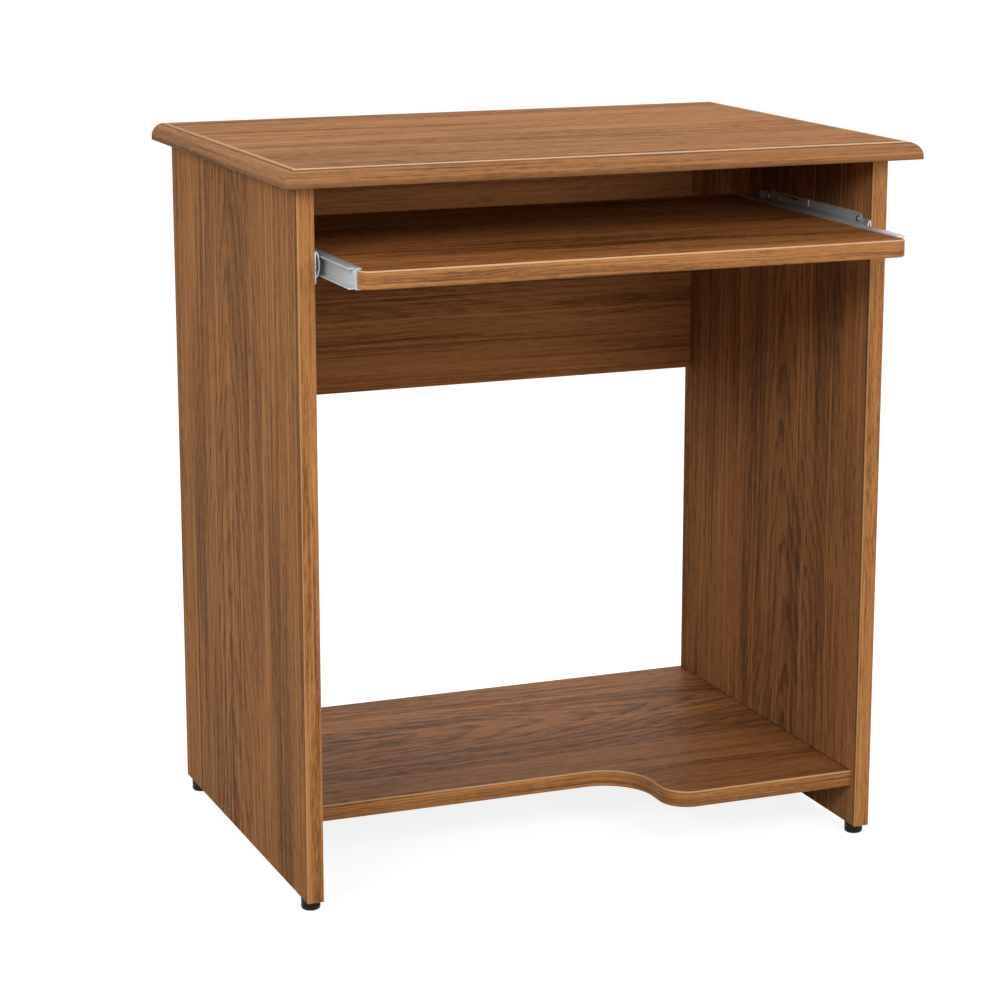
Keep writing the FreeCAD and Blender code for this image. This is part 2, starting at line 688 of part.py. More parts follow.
cam_from_middle = panel_inner_x - cam_distance
drill(back_panel, "cams", "XZ_Plane", -board, [
    (cam_from_middle * side, up - band, cam_hole) for side in (-1, 1) for up in back_cams],
    cam_hole_depth, along_normal=True)

# Lower shelf: its front steps back in an S curve at the left, to leave room for the feet

shelf_front_y = panel_front_y + shelf_setback
shelf_depth = rear_y - shelf_front_y
notch_x = notch_width - panel_inner_x


def shelf_front(inset):
    """The shelf's front line from left to right, set back by an inset for the bare board."""
    return [
        (-panel_inner_x, notch_depth + inset),
        (notch_x + inset, notch_depth + inset, notch_inner_round + inset),
        (notch_x + inset, inset, notch_outer_round - inset),
        (panel_inner_x, inset)]


shelf = node(new_body("lower_shelf"))
shelf_outline = sketch_on(shelf, "outline", "XY_Plane")
outline(shelf_outline, shelf_front(band) + [
    (panel_inner_x, shelf_depth - band), (-panel_inner_x, shelf_depth - band)])
pad(shelf, shelf_outline, board)
place(shelf, 0, shelf_front_y, shelf_underside)
shelf_cams = (shelf_cam_front - shelf_setback, shelf_cam_rear - shelf_setback)
shelf_dowels = (shelf_dowel_front - shelf_setback, shelf_dowel_rear - shelf_setback)
for end, offset, inward in (("left", -panel_inner_x, True), ("right", panel_inner_x, False)):
    drill(shelf, f"{end}_bolt_ways", "YZ_Plane", offset, [
        (back, board / 2, bolt_way) for back in shelf_cams], cam_distance, along_normal=inward)
    drill(shelf, f"{end}_dowels", "YZ_Plane", offset, [
        (back, board / 2, dowel_hole) for back in shelf_dowels], dowel_long_hole, along_normal=inward)
drill(shelf, "cams", "XY_Plane", None, [
    (cam_from_middle * side, back, cam_hole) for side in (-1, 1) for back in shelf_cams],
    cam_hole_depth, along_normal=True)

shelf_band = node(new_body("shelf_front_edge_band"))
shelf_band_outline = sketch_on(shelf_band, "outline", "XY_Plane")
outline(shelf_band_outline, shelf_front(as_size(0)) + list(reversed(shelf_front(band))))
shelf_band_pad = pad(shelf_band, shelf_band_outline, board)


def on_shelf_front(edge, middle):
    """Whether an edge of the band lies along its outer face, at the top or at the bottom."""
    if abs(edge.Vertexes[0].Z - edge.Vertexes[-1].Z) > band.value:
        return False
    if isinstance(edge.Curve, Part.Circle):
        rounds = (notch_inner_round.value, notch_outer_round.value)
        return min(abs(edge.Curve.Radius - radius) for radius in rounds) < band.value / 2
    off_line = min(abs(middle.y), abs(middle.y - notch_depth.value), abs(middle.x - notch_x.value))
    return off_line < band.value / 4 and edge.Length > band.value * 2


round_edges(shelf_band, shelf_band_pad, arris, on_shelf_front)
place(shelf_band, 0, shelf_front_y, shelf_underside)

# Keyboard tray and the band round all its edges

def tray_outline(inset):
    """The tray's outline with rounded front corners, set in by an inset for the bare board."""
    corner = tray_corner - inset
    left = inset - tray_half
    right = tray_half - inset
    return [(left, inset, corner), (right, inset, corner),
            (right, tray_depth - inset), (left, tray_depth - inset)]


tray = node(new_body("keyboard_tray"))
tray_plan = sketch_on(tray, "outline", "XY_Plane")
outline(tray_plan, tray_outline(band))
pad(tray, tray_plan, board)
place(tray, 0, tray_front_y, tray_underside)
tray_screw_x = tray_half - tray_screw_in
tray_screw_backs = [
    channel_setback + tray_screw_first + tray_screw_pitch * step for step in range(screws_per_channel)]
drill(tray, "screws", "XY_Plane", None, [
    (tray_screw_x * side, back, screw_hole) for side in (-1, 1) for back in tray_screw_backs],
    tray_screw_length, along_normal=True)

tray_band = node(new_body("tray_edge_band"))
tray_band_plan = sketch_on(tray_band, "outline", "XY_Plane")
outline(tray_band_plan, tray_outline(as_size(0)))
outline(tray_band_plan, tray_outline(band))
tray_band_pad = pad(tray_band, tray_band_plan, board)


def on_tray_front(edge, middle):
    """Whether an edge of the band lies along its outer front face, at the top or at the bottom."""
    if abs(edge.Vertexes[0].Z - edge.Vertexes[-1].Z) > band.value:
        return False
    if isinstance(edge.Curve, Part.Circle):
        return abs(edge.Curve.Radius - tray_corner.value) < band.value / 2
    on_side = abs(abs(middle.x) - tray_half.value) < band.value / 4
    return on_side or middle.y < band.value / 4


round_edges(tray_band, tray_band_pad, arris, on_tray_front)
place(tray_band, 0, tray_front_y, tray_underside)

# Rail of the left slide: a stamped steel strip with a hollow rib that carries the ball grooves.
# A low nose of the strip runs on to the panel's front edge.

rail = node(new_body("left_slide_rail"))
rail_strip = sketch_on(rail, "strip", "YZ_Plane")
outline(rail_strip, [
    (0, -rail_half, rail_corner), (rail_length, -rail_half, rail_corner),
    (rail_length, rail_half, rail_corner), (nose_length, rail_half, rail_corner),
    (nose_length, nose_top), (0, nose_top, rail_corner)])
pad(rail, rail_strip, steel)
rib_length = rail_length - nose_bare * 2
rib_section = sketch_on(rail, "rib", "XZ_Plane", -nose_bare)
outline(rib_section, [
    (0, -rib_half), (rib_reach, -rib_half, rib_bend), (rib_reach, rib_half, rib_bend), (0, rib_half)])
pad(rail, rib_section, rib_length, against_normal=True)
rib_inside = rib_half - steel
rib_hollow = sketch_on(rail, "hollow", "XZ_Plane", -nose_bare)
rectangle(rib_hollow, 0, -rib_inside, rib_reach - steel, rib_inside)
pocket(rail, rib_hollow, rib_length)
ball_lines = [(ball_out, ball_up * row, race) for row in (-1, 1)]
drill(rail, "races", "XZ_Plane", None, ball_lines, rail_length)

# Stop tabs stand in the ball lines, where they meet the cage at both ends of its way.
rail_lane = ball_out - stop_lane - stop_width
cage_front_open = cage_rest - travel_left / 2 - rail_setback
cage_rear_shut = cage_rest + cage_length + tray_drawn / 2 - rail_setback
rail_tabs = (cage_front_open - stop_gap - stop_tab, cage_rear_shut + stop_gap)
tab_root = rib_inside + steel / 4
tab_height = rib_half + stop_height - tab_root
for row in (-1, 1):
    tab_plan = sketch_on(rail, f"tabs_{row + 1}", "XY_Plane", tab_root * row)
    for front in rail_tabs:
        rectangle(tab_plan, rail_lane, front, rail_lane + stop_width, front + stop_tab)
    pad(rail, tab_plan, tab_height, against_normal=row < 0)

drill(rail, "screw_holes", "YZ_Plane", steel, [
    (back - rail_setback, up, screw_hole) for back, up in rail_screw_spots], steel)
rail_slots = sketch_on(rail, "slots", "YZ_Plane", steel)
slot(rail_slots, upper_slot_at, rail_screw_up, slot_length, slot_width)
slot(rail_slots, lower_slot_at, -rail_screw_up, slot_length, slot_width)
slot(rail_slots, nose_length / 2, nose_top - nose_slot_width, nose_slot_length, nose_slot_width)
pocket(rail, rail_slots, steel)
place(rail, -panel_inner_x, panel_front_y + rail_setback, slide_z)
node(mirrored("right_slide_rail", rail))

# Channel of the left slide: its web lies on the tray's side, its flanges hold the tray from above
# and below, and its lips run round the rail's rib with the balls between

channel = node(new_body("left_tray_channel"))
channel_section = sketch_on(channel, "section", "XZ_Plane")
web = slide_gap - steel
grip = board / 2
channel_half = grip + steel
outline(channel_section, [
    (lip_end, -channel_half), (slide_gap + lower_flange, -channel_half), (slide_gap + lower_flange, -grip),
    (slide_gap, -grip), (slide_gap, grip), (slide_gap + upper_flange, grip),
    (slide_gap + upper_flange, channel_half), (lip_end, channel_half), (lip_end, grip), (web, grip),
    (web, -grip), (lip_end, -grip)])
pad(channel, channel_section, channel_length, against_normal=True)
drill(channel, "races", "XZ_Plane", None, ball_lines, channel_length)
lip_cut = sketch_on(channel, "lip_cut", "YZ_Plane", web)
for row in (-1, 1):
    rectangle(lip_cut, 0, (grip - steel) * row, lip_short, (channel_half + steel) * row)
pocket(channel, lip_cut, web)

channel_lane = ball_out + stop_lane
channel_rest = channel_setback - tray_drawn
cage_front_shut = cage_rest + tray_drawn / 2 - (channel_rest + tray_drawn)
cage_rear_open = cage_rest + cage_length - travel_left / 2 - (channel_rest - travel_left)
channel_tabs = (cage_front_shut - stop_gap - stop_tab, cage_rear_open + stop_gap)
lip_root = channel_half - steel / 4
lip_tab_height = lip_root - grip + stop_height
for row in (-1, 1):
    tab_plan = sketch_on(channel, f"tabs_{row + 1}", "XY_Plane", lip_root * row)
    for front in channel_tabs:
        rectangle(tab_plan, channel_lane, front, channel_lane + stop_width, front + stop_tab)
    pad(channel, tab_plan, lip_tab_height, against_normal=row > 0)

drill(channel, "screw_holes", "XY_Plane", -grip, [
    (slide_gap + tray_screw_in, back - channel_setback, screw_hole) for back in tray_screw_backs], steel)
place(channel, -panel_inner_x, tray_front_y + channel_setback, slide_z)
node(mirrored("right_tray_channel", channel))

# Ball cage of the left slide: a thin strip bent round the rail's rib, with a pocket for each ball

cage = node(new_body("left_ball_cage"))
cage_section = sketch_on(cage, "section", "XZ_Plane")
cage_outer = web - cage_clear
cage_inner = cage_outer - cage_sheet
cage_tip = lip_end + cage_clear
cage_high = ball_up + cage_sheet / 2
cage_low = ball_up - cage_sheet / 2
outline(cage_section, [
    (cage_tip, -cage_high), (cage_outer, -cage_high, cage_sheet), (cage_outer, cage_high, cage_sheet),
    (cage_tip, cage_high), (cage_tip, cage_low), (cage_inner, cage_low), (cage_inner, -cage_low),
    (cage_tip, -cage_low)])
pad(cage, cage_section, cage_length, against_normal=True)
first_ball = (cage_length - ball_pitch * (balls_per_row - 1)) / 2
ball_backs = [first_ball + ball_pitch * step for step in range(balls_per_row)]
drill(cage, "pockets", "XY_Plane", cage_high, [
    (ball_out, back, cage_pocket) for back in ball_backs], cage_high * 2)
place(cage, -panel_inner_x, panel_front_y + cage_rest, slide_z)
node(mirrored("right_ball_cage", cage))

left_balls = node(copies("left_slide_balls", ball_master, [
    (ball_out - panel_inner_x, panel_front_y + cage_rest + back, slide_z + ball_up * row)
    for row in (-1, 1) for back in ball_backs]))
node(mirrored("right_slide_balls", left_balls))

# Screws of the slides and of the feet

rightwards = Vector(1, 0, 0)
upwards = Vector(0, 0, 1)
rearwards = Vector(0, 1, 0)


def pointing(axis):
    """The turn that lays a turned fitting's upright axis along another axis."""
    return Rotation(upwards, axis)


for hand, side, inwards in (("left", -1, rightwards), ("right", 1, -rightwards)):
    node(copies(f"{hand}_rail_screws", rail_screw, [
        ((panel_inner_x - steel) * side, panel_front_y + back, slide_z + up)
        for back, up in rail_screw_spots], pointing(inwards)))
    node(copies(f"{hand}_channel_screws", tray_screw, [
        (tray_screw_x * side, tray_front_y + back, tray_underside - steel) for back in tray_screw_backs],
        pointing(-upwards)))

# Feet: moulded glides with a rounded sole, each held by a screw from below

foot_screw_places = []
for end, back in foot_spots.items():
    left_foot = node(turned_master(f"{end}_left_foot", [
        (foot_screw_hole / 2, foot_recess_depth), (foot_recess / 2, foot_recess_depth),
        (foot_recess / 2, 0), (foot_width / 2, 0, foot_edge), (foot_width / 2, foot_height, arris),
        (foot_screw_hole / 2, foot_height)]))
    place(left_foot, -panel_mid_x, panel_front_y + back, 0)
    node(mirrored(f"{end}_right_foot", left_foot))
    foot_screw_places.append((-panel_mid_x, panel_front_y + back, foot_recess_depth))
node(on_both_sides("foot_screws", copies("foot_screws_left", foot_screw, foot_screw_places,
                                         pointing(-upwards))))

# Cam locks, bolts, dowels and cover caps of the three joints

def facing(face, bore):
    """The turn that aims a cam lock's face and its bolt bore."""
    return Rotation(bore, face.cross(bore), face, "ZXY")


cap_groups = []


def joint_fittings(name, bolt_spots, dowel_spots, along, face, cam_offset):
    """The fittings of a joint on the left side, and their mirror images on the right.

    The bolts and dowels lie along one axis, from the board's face into the other board's edge.
    The cam locks face another way, and stand at an offset from their bolts' joint.
    """
    cam_spots = [tuple(as_size(a) + b for a, b in zip(spot, cam_offset)) for spot in bolt_spots]
    cams = copies(f"{name}_cam_locks_left", cam_lock, cam_spots, facing(face, -along))
    bolts = copies(f"{name}_cam_bolts_left", cam_bolt, bolt_spots, pointing(along))
    pins = copies(f"{name}_dowels_left", dowel_pin, dowel_spots, pointing(along))
    node(on_both_sides(f"{name}_cam_locks", cams))
    node(on_both_sides(f"{name}_cam_bolts", bolts))
    caps = copies(f"{name}_caps_left", cover_cap, cam_spots, pointing(face))
    cap_groups.append(on_both_sides(f"{name}_caps", caps))
    return on_both_sides(f"{name}_dowels", pins)


def across(backs, x, z):
    """Places at several distances behind the panels' front edges."""
    return [(x, panel_front_y + back, z) for back in backs]


node(joint_fittings(
    "shelf", across((shelf_cam_front, shelf_cam_rear), -panel_inner_x, shelf_mid_z),
    across((shelf_dowel_front, shelf_dowel_rear), -panel_inner_x, shelf_mid_z),
    rightwards, -upwards, (cam_distance, as_size(0), -board / 2)))
back_mid = rear_y - board / 2
node(joint_fittings(
    "back_panel", [(-panel_inner_x, back_mid, back_bottom + up) for up in back_cams],
    [(-panel_inner_x, back_mid, back_bottom + up) for up in back_dowels],
    rightwards, rearwards, (cam_distance, board / 2, as_size(0))))
side_top_dowels = joint_fittings(
    "side", across((top_cam_front, top_cam_rear), -panel_mid_x, top_underside),
    across((top_dowel_front, top_dowel_rear), -panel_mid_x, top_underside),
    -upwards, rightwards, (board / 2, as_size(0), -cam_distance))
back_top_dowels = copies("back_top_dowels", dowel_pin, [
    (back_top_dowel * side, back_mid, top_underside) for side in (-1, 1)], pointing(-upwards))
node(gathered("top_dowels", [side_top_dowels, back_top_dowels]))
node(gathered("cam_cover_caps", cap_groups))

# Every object is checked before anything is written

doc.recompute()
for thing in doc.Objects:
    if "Invalid" in thing.State or "Error" in thing.State:
        raise ValueError(f"{thing.Label} failed: {thing.State}")
for thing in nodes:
    shape = thing.Shape
    if shape.isNull() or not shape.isValid() or not shape.Solids:
        raise ValueError(f"{thing.Label} has no valid solid")

os.makedirs("parts", exist_ok=True)
for thing in nodes:
    thing.Shape.exportStep(f"parts/{thing.Label}.step")
    box = thing.Shape.BoundBox
    print(f"{thing.Label:30s} solids {len(thing.Shape.Solids):3d}  volume {thing.Shape.Volume:12.1f}  "
          f"x {box.XMin:8.2f} {box.XMax:8.2f}  y {box.YMin:8.2f} {box.YMax:8.2f}  "
          f"z {box.ZMin:8.2f} {box.ZMax:8.2f}")
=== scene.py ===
import math

import bpy
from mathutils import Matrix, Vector


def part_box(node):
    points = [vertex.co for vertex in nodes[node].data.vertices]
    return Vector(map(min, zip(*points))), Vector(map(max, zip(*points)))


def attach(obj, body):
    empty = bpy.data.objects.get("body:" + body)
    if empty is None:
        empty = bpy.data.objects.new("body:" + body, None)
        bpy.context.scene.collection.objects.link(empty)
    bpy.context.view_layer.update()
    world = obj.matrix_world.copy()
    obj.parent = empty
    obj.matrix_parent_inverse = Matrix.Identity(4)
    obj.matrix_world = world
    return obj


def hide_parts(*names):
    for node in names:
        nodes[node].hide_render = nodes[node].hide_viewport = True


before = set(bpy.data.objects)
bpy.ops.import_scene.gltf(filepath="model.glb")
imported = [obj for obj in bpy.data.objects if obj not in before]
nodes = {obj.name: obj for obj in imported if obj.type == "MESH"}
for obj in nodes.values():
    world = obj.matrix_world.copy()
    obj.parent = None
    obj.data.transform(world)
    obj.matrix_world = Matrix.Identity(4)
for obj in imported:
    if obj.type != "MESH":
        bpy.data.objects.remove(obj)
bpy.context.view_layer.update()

# Side panels
# Two upright boards of wood chip, faced on both sides with a printed walnut laminate under a satin
# film. The print's grain stands upright, and a dark joint shows where the front band is glued on. The
# boards carry the top, the shelf and the slides.

upright_grain = (0.0, math.radians(90), 0.0)


def socket_of(tree, node, value, number):
    """Feeds one input of a node from another node's socket or from a plain value."""
    if isinstance(value, bpy.types.NodeSocket):
        tree.links.new(value, node.inputs[number])
    else:
        node.inputs[number].default_value = value


def math_node(tree, operation, *values):
    """A Math node, fed with sockets or numbers in order."""
    node = tree.nodes.new("ShaderNodeMath")
    node.operation = operation
    for number, value in enumerate(values):
        socket_of(tree, node, value, number)
    return node.outputs[0]


def stretched_noise(tree, place, along, across, detail, roughness=0.5):
    """Noise drawn out along the grain: so many spots a metre along it and across it."""
    stretch = tree.nodes.new("ShaderNodeMapping")
    stretch.inputs["Scale"].default_value = (along, across, across)
    tree.links.new(place, stretch.inputs["Vector"])
    noise = tree.nodes.new("ShaderNodeTexNoise")
    noise.inputs["Scale"].default_value = 1.0
    noise.inputs["Detail"].default_value = detail
    noise.inputs["Roughness"].default_value = roughness
    tree.links.new(stretch.outputs["Vector"], noise.inputs["Vector"])
    return noise.outputs["Fac"]


def ramp_node(tree, value, stops):
    """A colour ramp through (place, colour) stops."""
    node = tree.nodes.new("ShaderNodeValToRGB")
    elements = node.color_ramp.elements
    while len(elements) < len(stops):
        elements.new(1.0)
    for element, (place, colour) in zip(elements, stops):
        element.position = place
        element.color = (*colour, 1.0)
    tree.links.new(value, node.inputs["Fac"])
    return node.outputs["Color"]


def range_node(tree, value, low, high, to_low=0.0, to_high=1.0):
    """Spreads a value from one range to another with soft ends."""
    node = tree.nodes.new("ShaderNodeMapRange")
    node.interpolation_type = "SMOOTHSTEP"
    for name, number in zip(("From Min", "From Max", "To Min", "To Max"), (low, high, to_low, to_high)):
        node.inputs[name].default_value = number
    tree.links.new(value, node.inputs["Value"])
    return node.outputs["Result"]


def group_tree(name, inputs, outputs):
    """An empty node group with named inputs and outputs, each given as (name, socket type)."""
    tree = bpy.data.node_groups.new(name, "ShaderNodeTree")
    for label, kind in inputs:
        tree.interface.new_socket(label, in_out="INPUT", socket_type=kind)
    for label, kind in outputs:
        tree.interface.new_socket(label, in_out="OUTPUT", socket_type=kind)
    return tree, tree.nodes.new("NodeGroupInput"), tree.nodes.new("NodeGroupOutput")


# The printed figure, with its lengths in metres. Year rings are cones round the tree's pith, cut by the
# veneer's plane: near the middle of a flitch they show as arches, and towards its edges as stripes.
pith_depth = 0.016
ring_width = 0.0060
ring_roughness = 0.009
late_wood_start = 0.40
late_wood_full = 0.94
flitch_half = 0.112
rings_fade = 0.8 * flitch_half
edge_rings = 0.25
heart_half = 0.024
cone_taper = 0.085
grain_waver = 0.004
pith_sway = 0.055
depth_drift = 0.3

# How far each kind of mark darkens the print.
streak_weight = 0.34
line_weight = 0.28
fibre_weight = 0.24
ring_weight = 0.36
heart_weight = 0.5


def make_walnut_figure():
    """The walnut print over the grain's own coordinates: dark tone, orange veins, pores and fibre."""
    tree, start, end = group_tree(
        "walnut_figure",
        [("Grain", "NodeSocketVector"), ("Fineness", "NodeSocketFloat"), ("Arches", "NodeSocketFloat")],
        [("Tone", "NodeSocketFloat"), ("Veins", "NodeSocketFloat"),
         ("Pores", "NodeSocketFloat"), ("Fibre", "NodeSocketFloat")])
    axes = tree.nodes.new("ShaderNodeSeparateXYZ")
    tree.links.new(start.outputs["Grain"], axes.inputs["Vector"])
    along, across, depth = axes.outputs
    across = math_node(tree, "MULTIPLY", across, start.outputs["Fineness"])
    waver = stretched_noise(tree, start.outputs["Grain"], along=7.0, across=14.0, detail=3.0)
    wavy_across = math_node(tree, "MULTIPLY_ADD", waver, grain_waver, across)
    wavy = tree.nodes.new("ShaderNodeCombineXYZ")
    for socket, part in zip(wavy.inputs, (along, wavy_across, depth)):
        tree.links.new(part, socket)
    grain = wavy.outputs["Vector"]

    sway = stretched_noise(tree, grain, along=2.4, across=8.0, detail=2.0)
    sway = math_node(tree, "MULTIPLY_ADD", sway, pith_sway, across)
    sway = math_node(tree, "MULTIPLY_ADD", depth, depth_drift, sway)
    from_pith = math_node(tree, "PINGPONG", sway, flitch_half)
    squared = math_node(tree, "MULTIPLY", from_pith, from_pith)
    radius = math_node(tree, "SQRT", math_node(tree, "ADD", squared, pith_depth ** 2))
    radius = math_node(tree, "MULTIPLY_ADD", along, cone_taper, radius)
    rough_growth = stretched_noise(tree, grain, along=6.0, across=90.0, detail=3.0)
    radius = math_node(tree, "MULTIPLY_ADD", rough_growth, ring_roughness, radius)
    ring = math_node(tree, "FRACT", math_node(tree, "DIVIDE", radius, ring_width))
    late_wood = range_node(tree, ring, late_wood_start, late_wood_full)
    ring_end = range_node(tree, ring, late_wood_full, 1.0, 1.0, 0.0)
    rings = math_node(tree, "MULTIPLY", late_wood, ring_end)
    near_pith = range_node(tree, from_pith, 0.0, rings_fade, 1.0, edge_rings)
    rings = math_node(tree, "MULTIPLY", rings, near_pith)

    def marks(low, high, **spots):
        """Marks along the grain: noise with so many spots, kept between two of its levels."""
        return range_node(tree, stretched_noise(tree, grain, **spots), low, high)

    heart = range_node(tree, from_pith, 0.0, heart_half, 1.0, 0.0)
    heart_spots = marks(0.42, 0.62, along=3.0, across=12.0, detail=1.0)
    heart = math_node(tree, "MULTIPLY", heart, heart_spots)
    rings = math_node(tree, "MULTIPLY_ADD", heart, heart_weight, rings)
    rings = math_node(tree, "MULTIPLY", rings, start.outputs["Arches"])

    streaks = marks(0.40, 0.64, along=1.6, across=34.0, detail=3.0, roughness=0.6)
    lines = marks(0.51, 0.61, along=3.0, across=300.0, detail=4.0, roughness=0.65)
    veins = marks(0.53, 0.61, along=2.6, across=250.0, detail=4.0, roughness=0.65)
    fibre = marks(0.38, 0.62, along=60.0, across=520.0, detail=3.0, roughness=0.7)
    pores = marks(0.58, 0.68, along=36.0, across=420.0, detail=2.0)

    tone = math_node(tree, "MULTIPLY", streaks, streak_weight)
    tone = math_node(tree, "MULTIPLY_ADD", lines, line_weight, tone)
    tone = math_node(tree, "MULTIPLY_ADD", fibre, fibre_weight, tone)
    tone = math_node(tree, "MULTIPLY_ADD", rings, ring_weight, tone)
    tree.links.new(tone, end.inputs["Tone"])
    tree.links.new(veins, end.inputs["Veins"])
    tree.links.new(pores, end.inputs["Pores"])
    tree.links.new(fibre, end.inputs["Fibre"])
    return tree


walnut_figure = make_walnut_figure()


def mix_colour(tree, factor, first, second):
    """Mixes two colours, each a socket or plain numbers."""
    node = tree.nodes.new("ShaderNodeMix")
    node.data_type = "RGBA"
    tree.links.new(factor, node.inputs["Factor"])
    for name, colour in (("A", first), ("B", second)):
        if isinstance(colour, bpy.types.NodeSocket):
            tree.links.new(colour, node.inputs[name])
        else:
            node.inputs[name].default_value = (*colour, 1.0)
    return node.outputs["Result"]


def cut_from_sheet(tree, turn, shift):
    """The place on the printed sheet: the grain's direction is its X."""
    place = tree.nodes.new("ShaderNodeTexCoord").outputs["Object"]
    cut = tree.nodes.new("ShaderNodeMapping")
    cut.inputs["Rotation"].default_value = turn
    cut.inputs["Location"].default_value = shift
    tree.links.new(place, cut.inputs["Vector"])
    return cut.outputs["Vector"]


def object_axis(tree, axis):
    """One coordinate of the place on the object."""
    axes = tree.nodes.new("ShaderNodeSeparateXYZ")
    tree.links.new(tree.nodes.new("ShaderNodeTexCoord").outputs["Object"], axes.inputs["Vector"])
    return axes.outputs[axis]


# How strongly veins and pores show in a print, how they roughen its film, the dark line along a glued
# seam, and the dark joint line with painted shade where a board's ends meet other boards.
vein_strength = 0.70
pore_strength = 0.28
pore_darkness = 0.6
fibre_roughness = 0.10
pore_roughness = 0.15
joint_line_and_shade_strength = 0.75
seam_width = 0.004
end_shade_start = 0.003
end_shade_full = 0.0005


def wood_print(name, turn, shift, colours, fine=1.0, arches=1.0, satin=0.40, gloss=0.03, highlight=None,
               bent=False, crest=None, seam=None, ends=None):
    """A walnut print: how its grain is turned, where on the sheet it was cut, and its colours.

    The colours are its light, middle and dark tones and its veins. The lower its fineness, the broader
    its lines. A bent print follows a strip round its corners. With a crest it gets a moulding's painted
    highlight and shade, and else a painted highlight along its rounded edges. Along a seam it has a dark
    joint line, and where its ends meet other boards a dark joint line with painted shade.
    """
    light, middle, dark, vein = colours
    material = bpy.data.materials.new(name)
    material.use_nodes = True
    tree = material.node_tree
    surface = tree.nodes["Principled BSDF"]
    sheet = cut_from_sheet(tree, turn, shift)
    if bent:
        axes = tree.nodes.new("ShaderNodeSeparateXYZ")
        tree.links.new(sheet, axes.inputs["Vector"])
        strip = tree.nodes.new("ShaderNodeCombineXYZ")
        run = math_node(tree, "SUBTRACT", axes.outputs["X"], axes.outputs["Y"])
        tree.links.new(run, strip.inputs["X"])
        tree.links.new(axes.outputs["Z"], strip.inputs["Y"])
        sheet = strip.outputs["Vector"]
    figure = tree.nodes.new("ShaderNodeGroup")
    figure.node_tree = walnut_figure
    figure.inputs["Fineness"].default_value = fine
    figure.inputs["Arches"].default_value = arches
    tree.links.new(sheet, figure.inputs["Grain"])
    tone, veins, pores, fibre = figure.outputs
    colour = ramp_node(tree, tone, [(0.20, light), (0.48, middle), (0.86, dark)])
    colour = mix_colour(tree, math_node(tree, "MULTIPLY", veins, vein_strength), colour, vein)
    pore_shade = [pore_darkness * part for part in dark]
    colour = mix_colour(tree, math_node(tree, "MULTIPLY", pores, pore_strength), colour, pore_shade)
    if seam:
        joint_line_and_shade = range_node(tree, object_axis(tree, "Y"), seam, seam + seam_width, joint_line_and_shade_strength, 0.0)
        colour = mix_colour(tree, joint_line_and_shade, colour, pore_shade)
    # A dark joint line with painted shade where the board's ends meet other boards.
    if ends:
        from_middle = math_node(tree, "ABSOLUTE", object_axis(tree, "X"))
        joint_line_and_shade = range_node(
            tree, from_middle, ends - end_shade_start, ends - end_shade_full, 0.0, joint_line_and_shade_strength)
        colour = mix_colour(tree, joint_line_and_shade, colour, pore_shade)
    if crest:
        colour = shade_moulding(tree, colour, crest, highlight, dark, pore_shade)
    elif highlight:
        # Painted highlight along the rounded edges, in the highlight colour.
        wear_and_highlight = tree.nodes.new("ShaderNodeGroup")
        wear_and_highlight.node_tree = edge_highlight
        colour = mix_colour(tree, wear_and_highlight.outputs["Lying" if bent else "Upright"], colour, highlight)
    tree.links.new(colour, surface.inputs["Base Color"])
    rough = math_node(tree, "MULTIPLY_ADD", fibre, fibre_roughness, satin)
    rough = math_node(tree, "MULTIPLY_ADD", pores, pore_roughness, rough)
    tree.links.new(rough, surface.inputs["Roughness"])
    surface.inputs["Specular IOR Level"].default_value = gloss
    emboss = tree.nodes.new("ShaderNodeBump")
    emboss.inputs["Strength"].default_value = 0.10
    emboss.inputs["Distance"].default_value = 0.0003
    tree.links.new(math_node(tree, "SUBTRACT", fibre, pores), emboss.inputs["Height"])
    tree.links.new(emboss.outputs["Normal"], surface.inputs["Normal"])
    return material


def dress(material, *names):
    """Gives CAD nodes their finished material."""
    for name in names:
        nodes[name].data.materials.clear()
        nodes[name].data.materials.append(material)


walnut = [(0.390, 0.172, 0.064), (0.270, 0.118, 0.046), (0.145, 0.071, 0.034), (0.560, 0.246, 0.084)]

panel_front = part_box("left_side_panel")[0].y
side_walnut = wood_print(
    "side_walnut", upright_grain, (0.31, 0.12, 0.0), walnut, fine=0.52, gloss=0.004, seam=panel_front)
dress(side_walnut, "left_side_panel", "right_side_panel")

# Edge bands of the side panels
# Strips of wood-print plastic, glued to the front and rear edges and rounded over by the bander.
# Their print is paler and more orange than the faces, with a painted highlight along the rounding.

# The painted highlight's mask: where it starts, where it is full and how strong it is.
highlight_start = 0.15
highlight_full = 0.45
highlight_strength = 0.9


def make_edge_highlight():
    """Masks of the painted highlight on rounded edges: where a surface turns upwards, and where it turns
    to the side.
    """
    tree, _, end = group_tree(
        "edge_highlight", [], [("Lying", "NodeSocketFloat"), ("Upright", "NodeSocketFloat")])
    facing = tree.nodes.new("ShaderNodeSeparateXYZ")
    tree.links.new(tree.nodes.new("ShaderNodeNewGeometry").outputs["True Normal"], facing.inputs["Vector"])
    side, front = (math_node(tree, "ABSOLUTE", facing.outputs[axis]) for axis in ("X", "Y"))
    up = math_node(tree, "MAXIMUM", facing.outputs["Z"], 0.0)
    side_squared = math_node(tree, "MULTIPLY", side, side)
    front_squared = math_node(tree, "MULTIPLY", front, front)
    level = math_node(tree, "SQRT", math_node(tree, "ADD", side_squared, front_squared))
    lying = math_node(tree, "MULTIPLY", level, up)
    upright = math_node(tree, "MULTIPLY", side, front)
    for mask, name in ((lying, "Lying"), (upright, "Upright")):
        line = range_node(tree, mask, highlight_start, highlight_full, 0.0, highlight_strength)
        tree.links.new(line, end.inputs[name])
    return tree


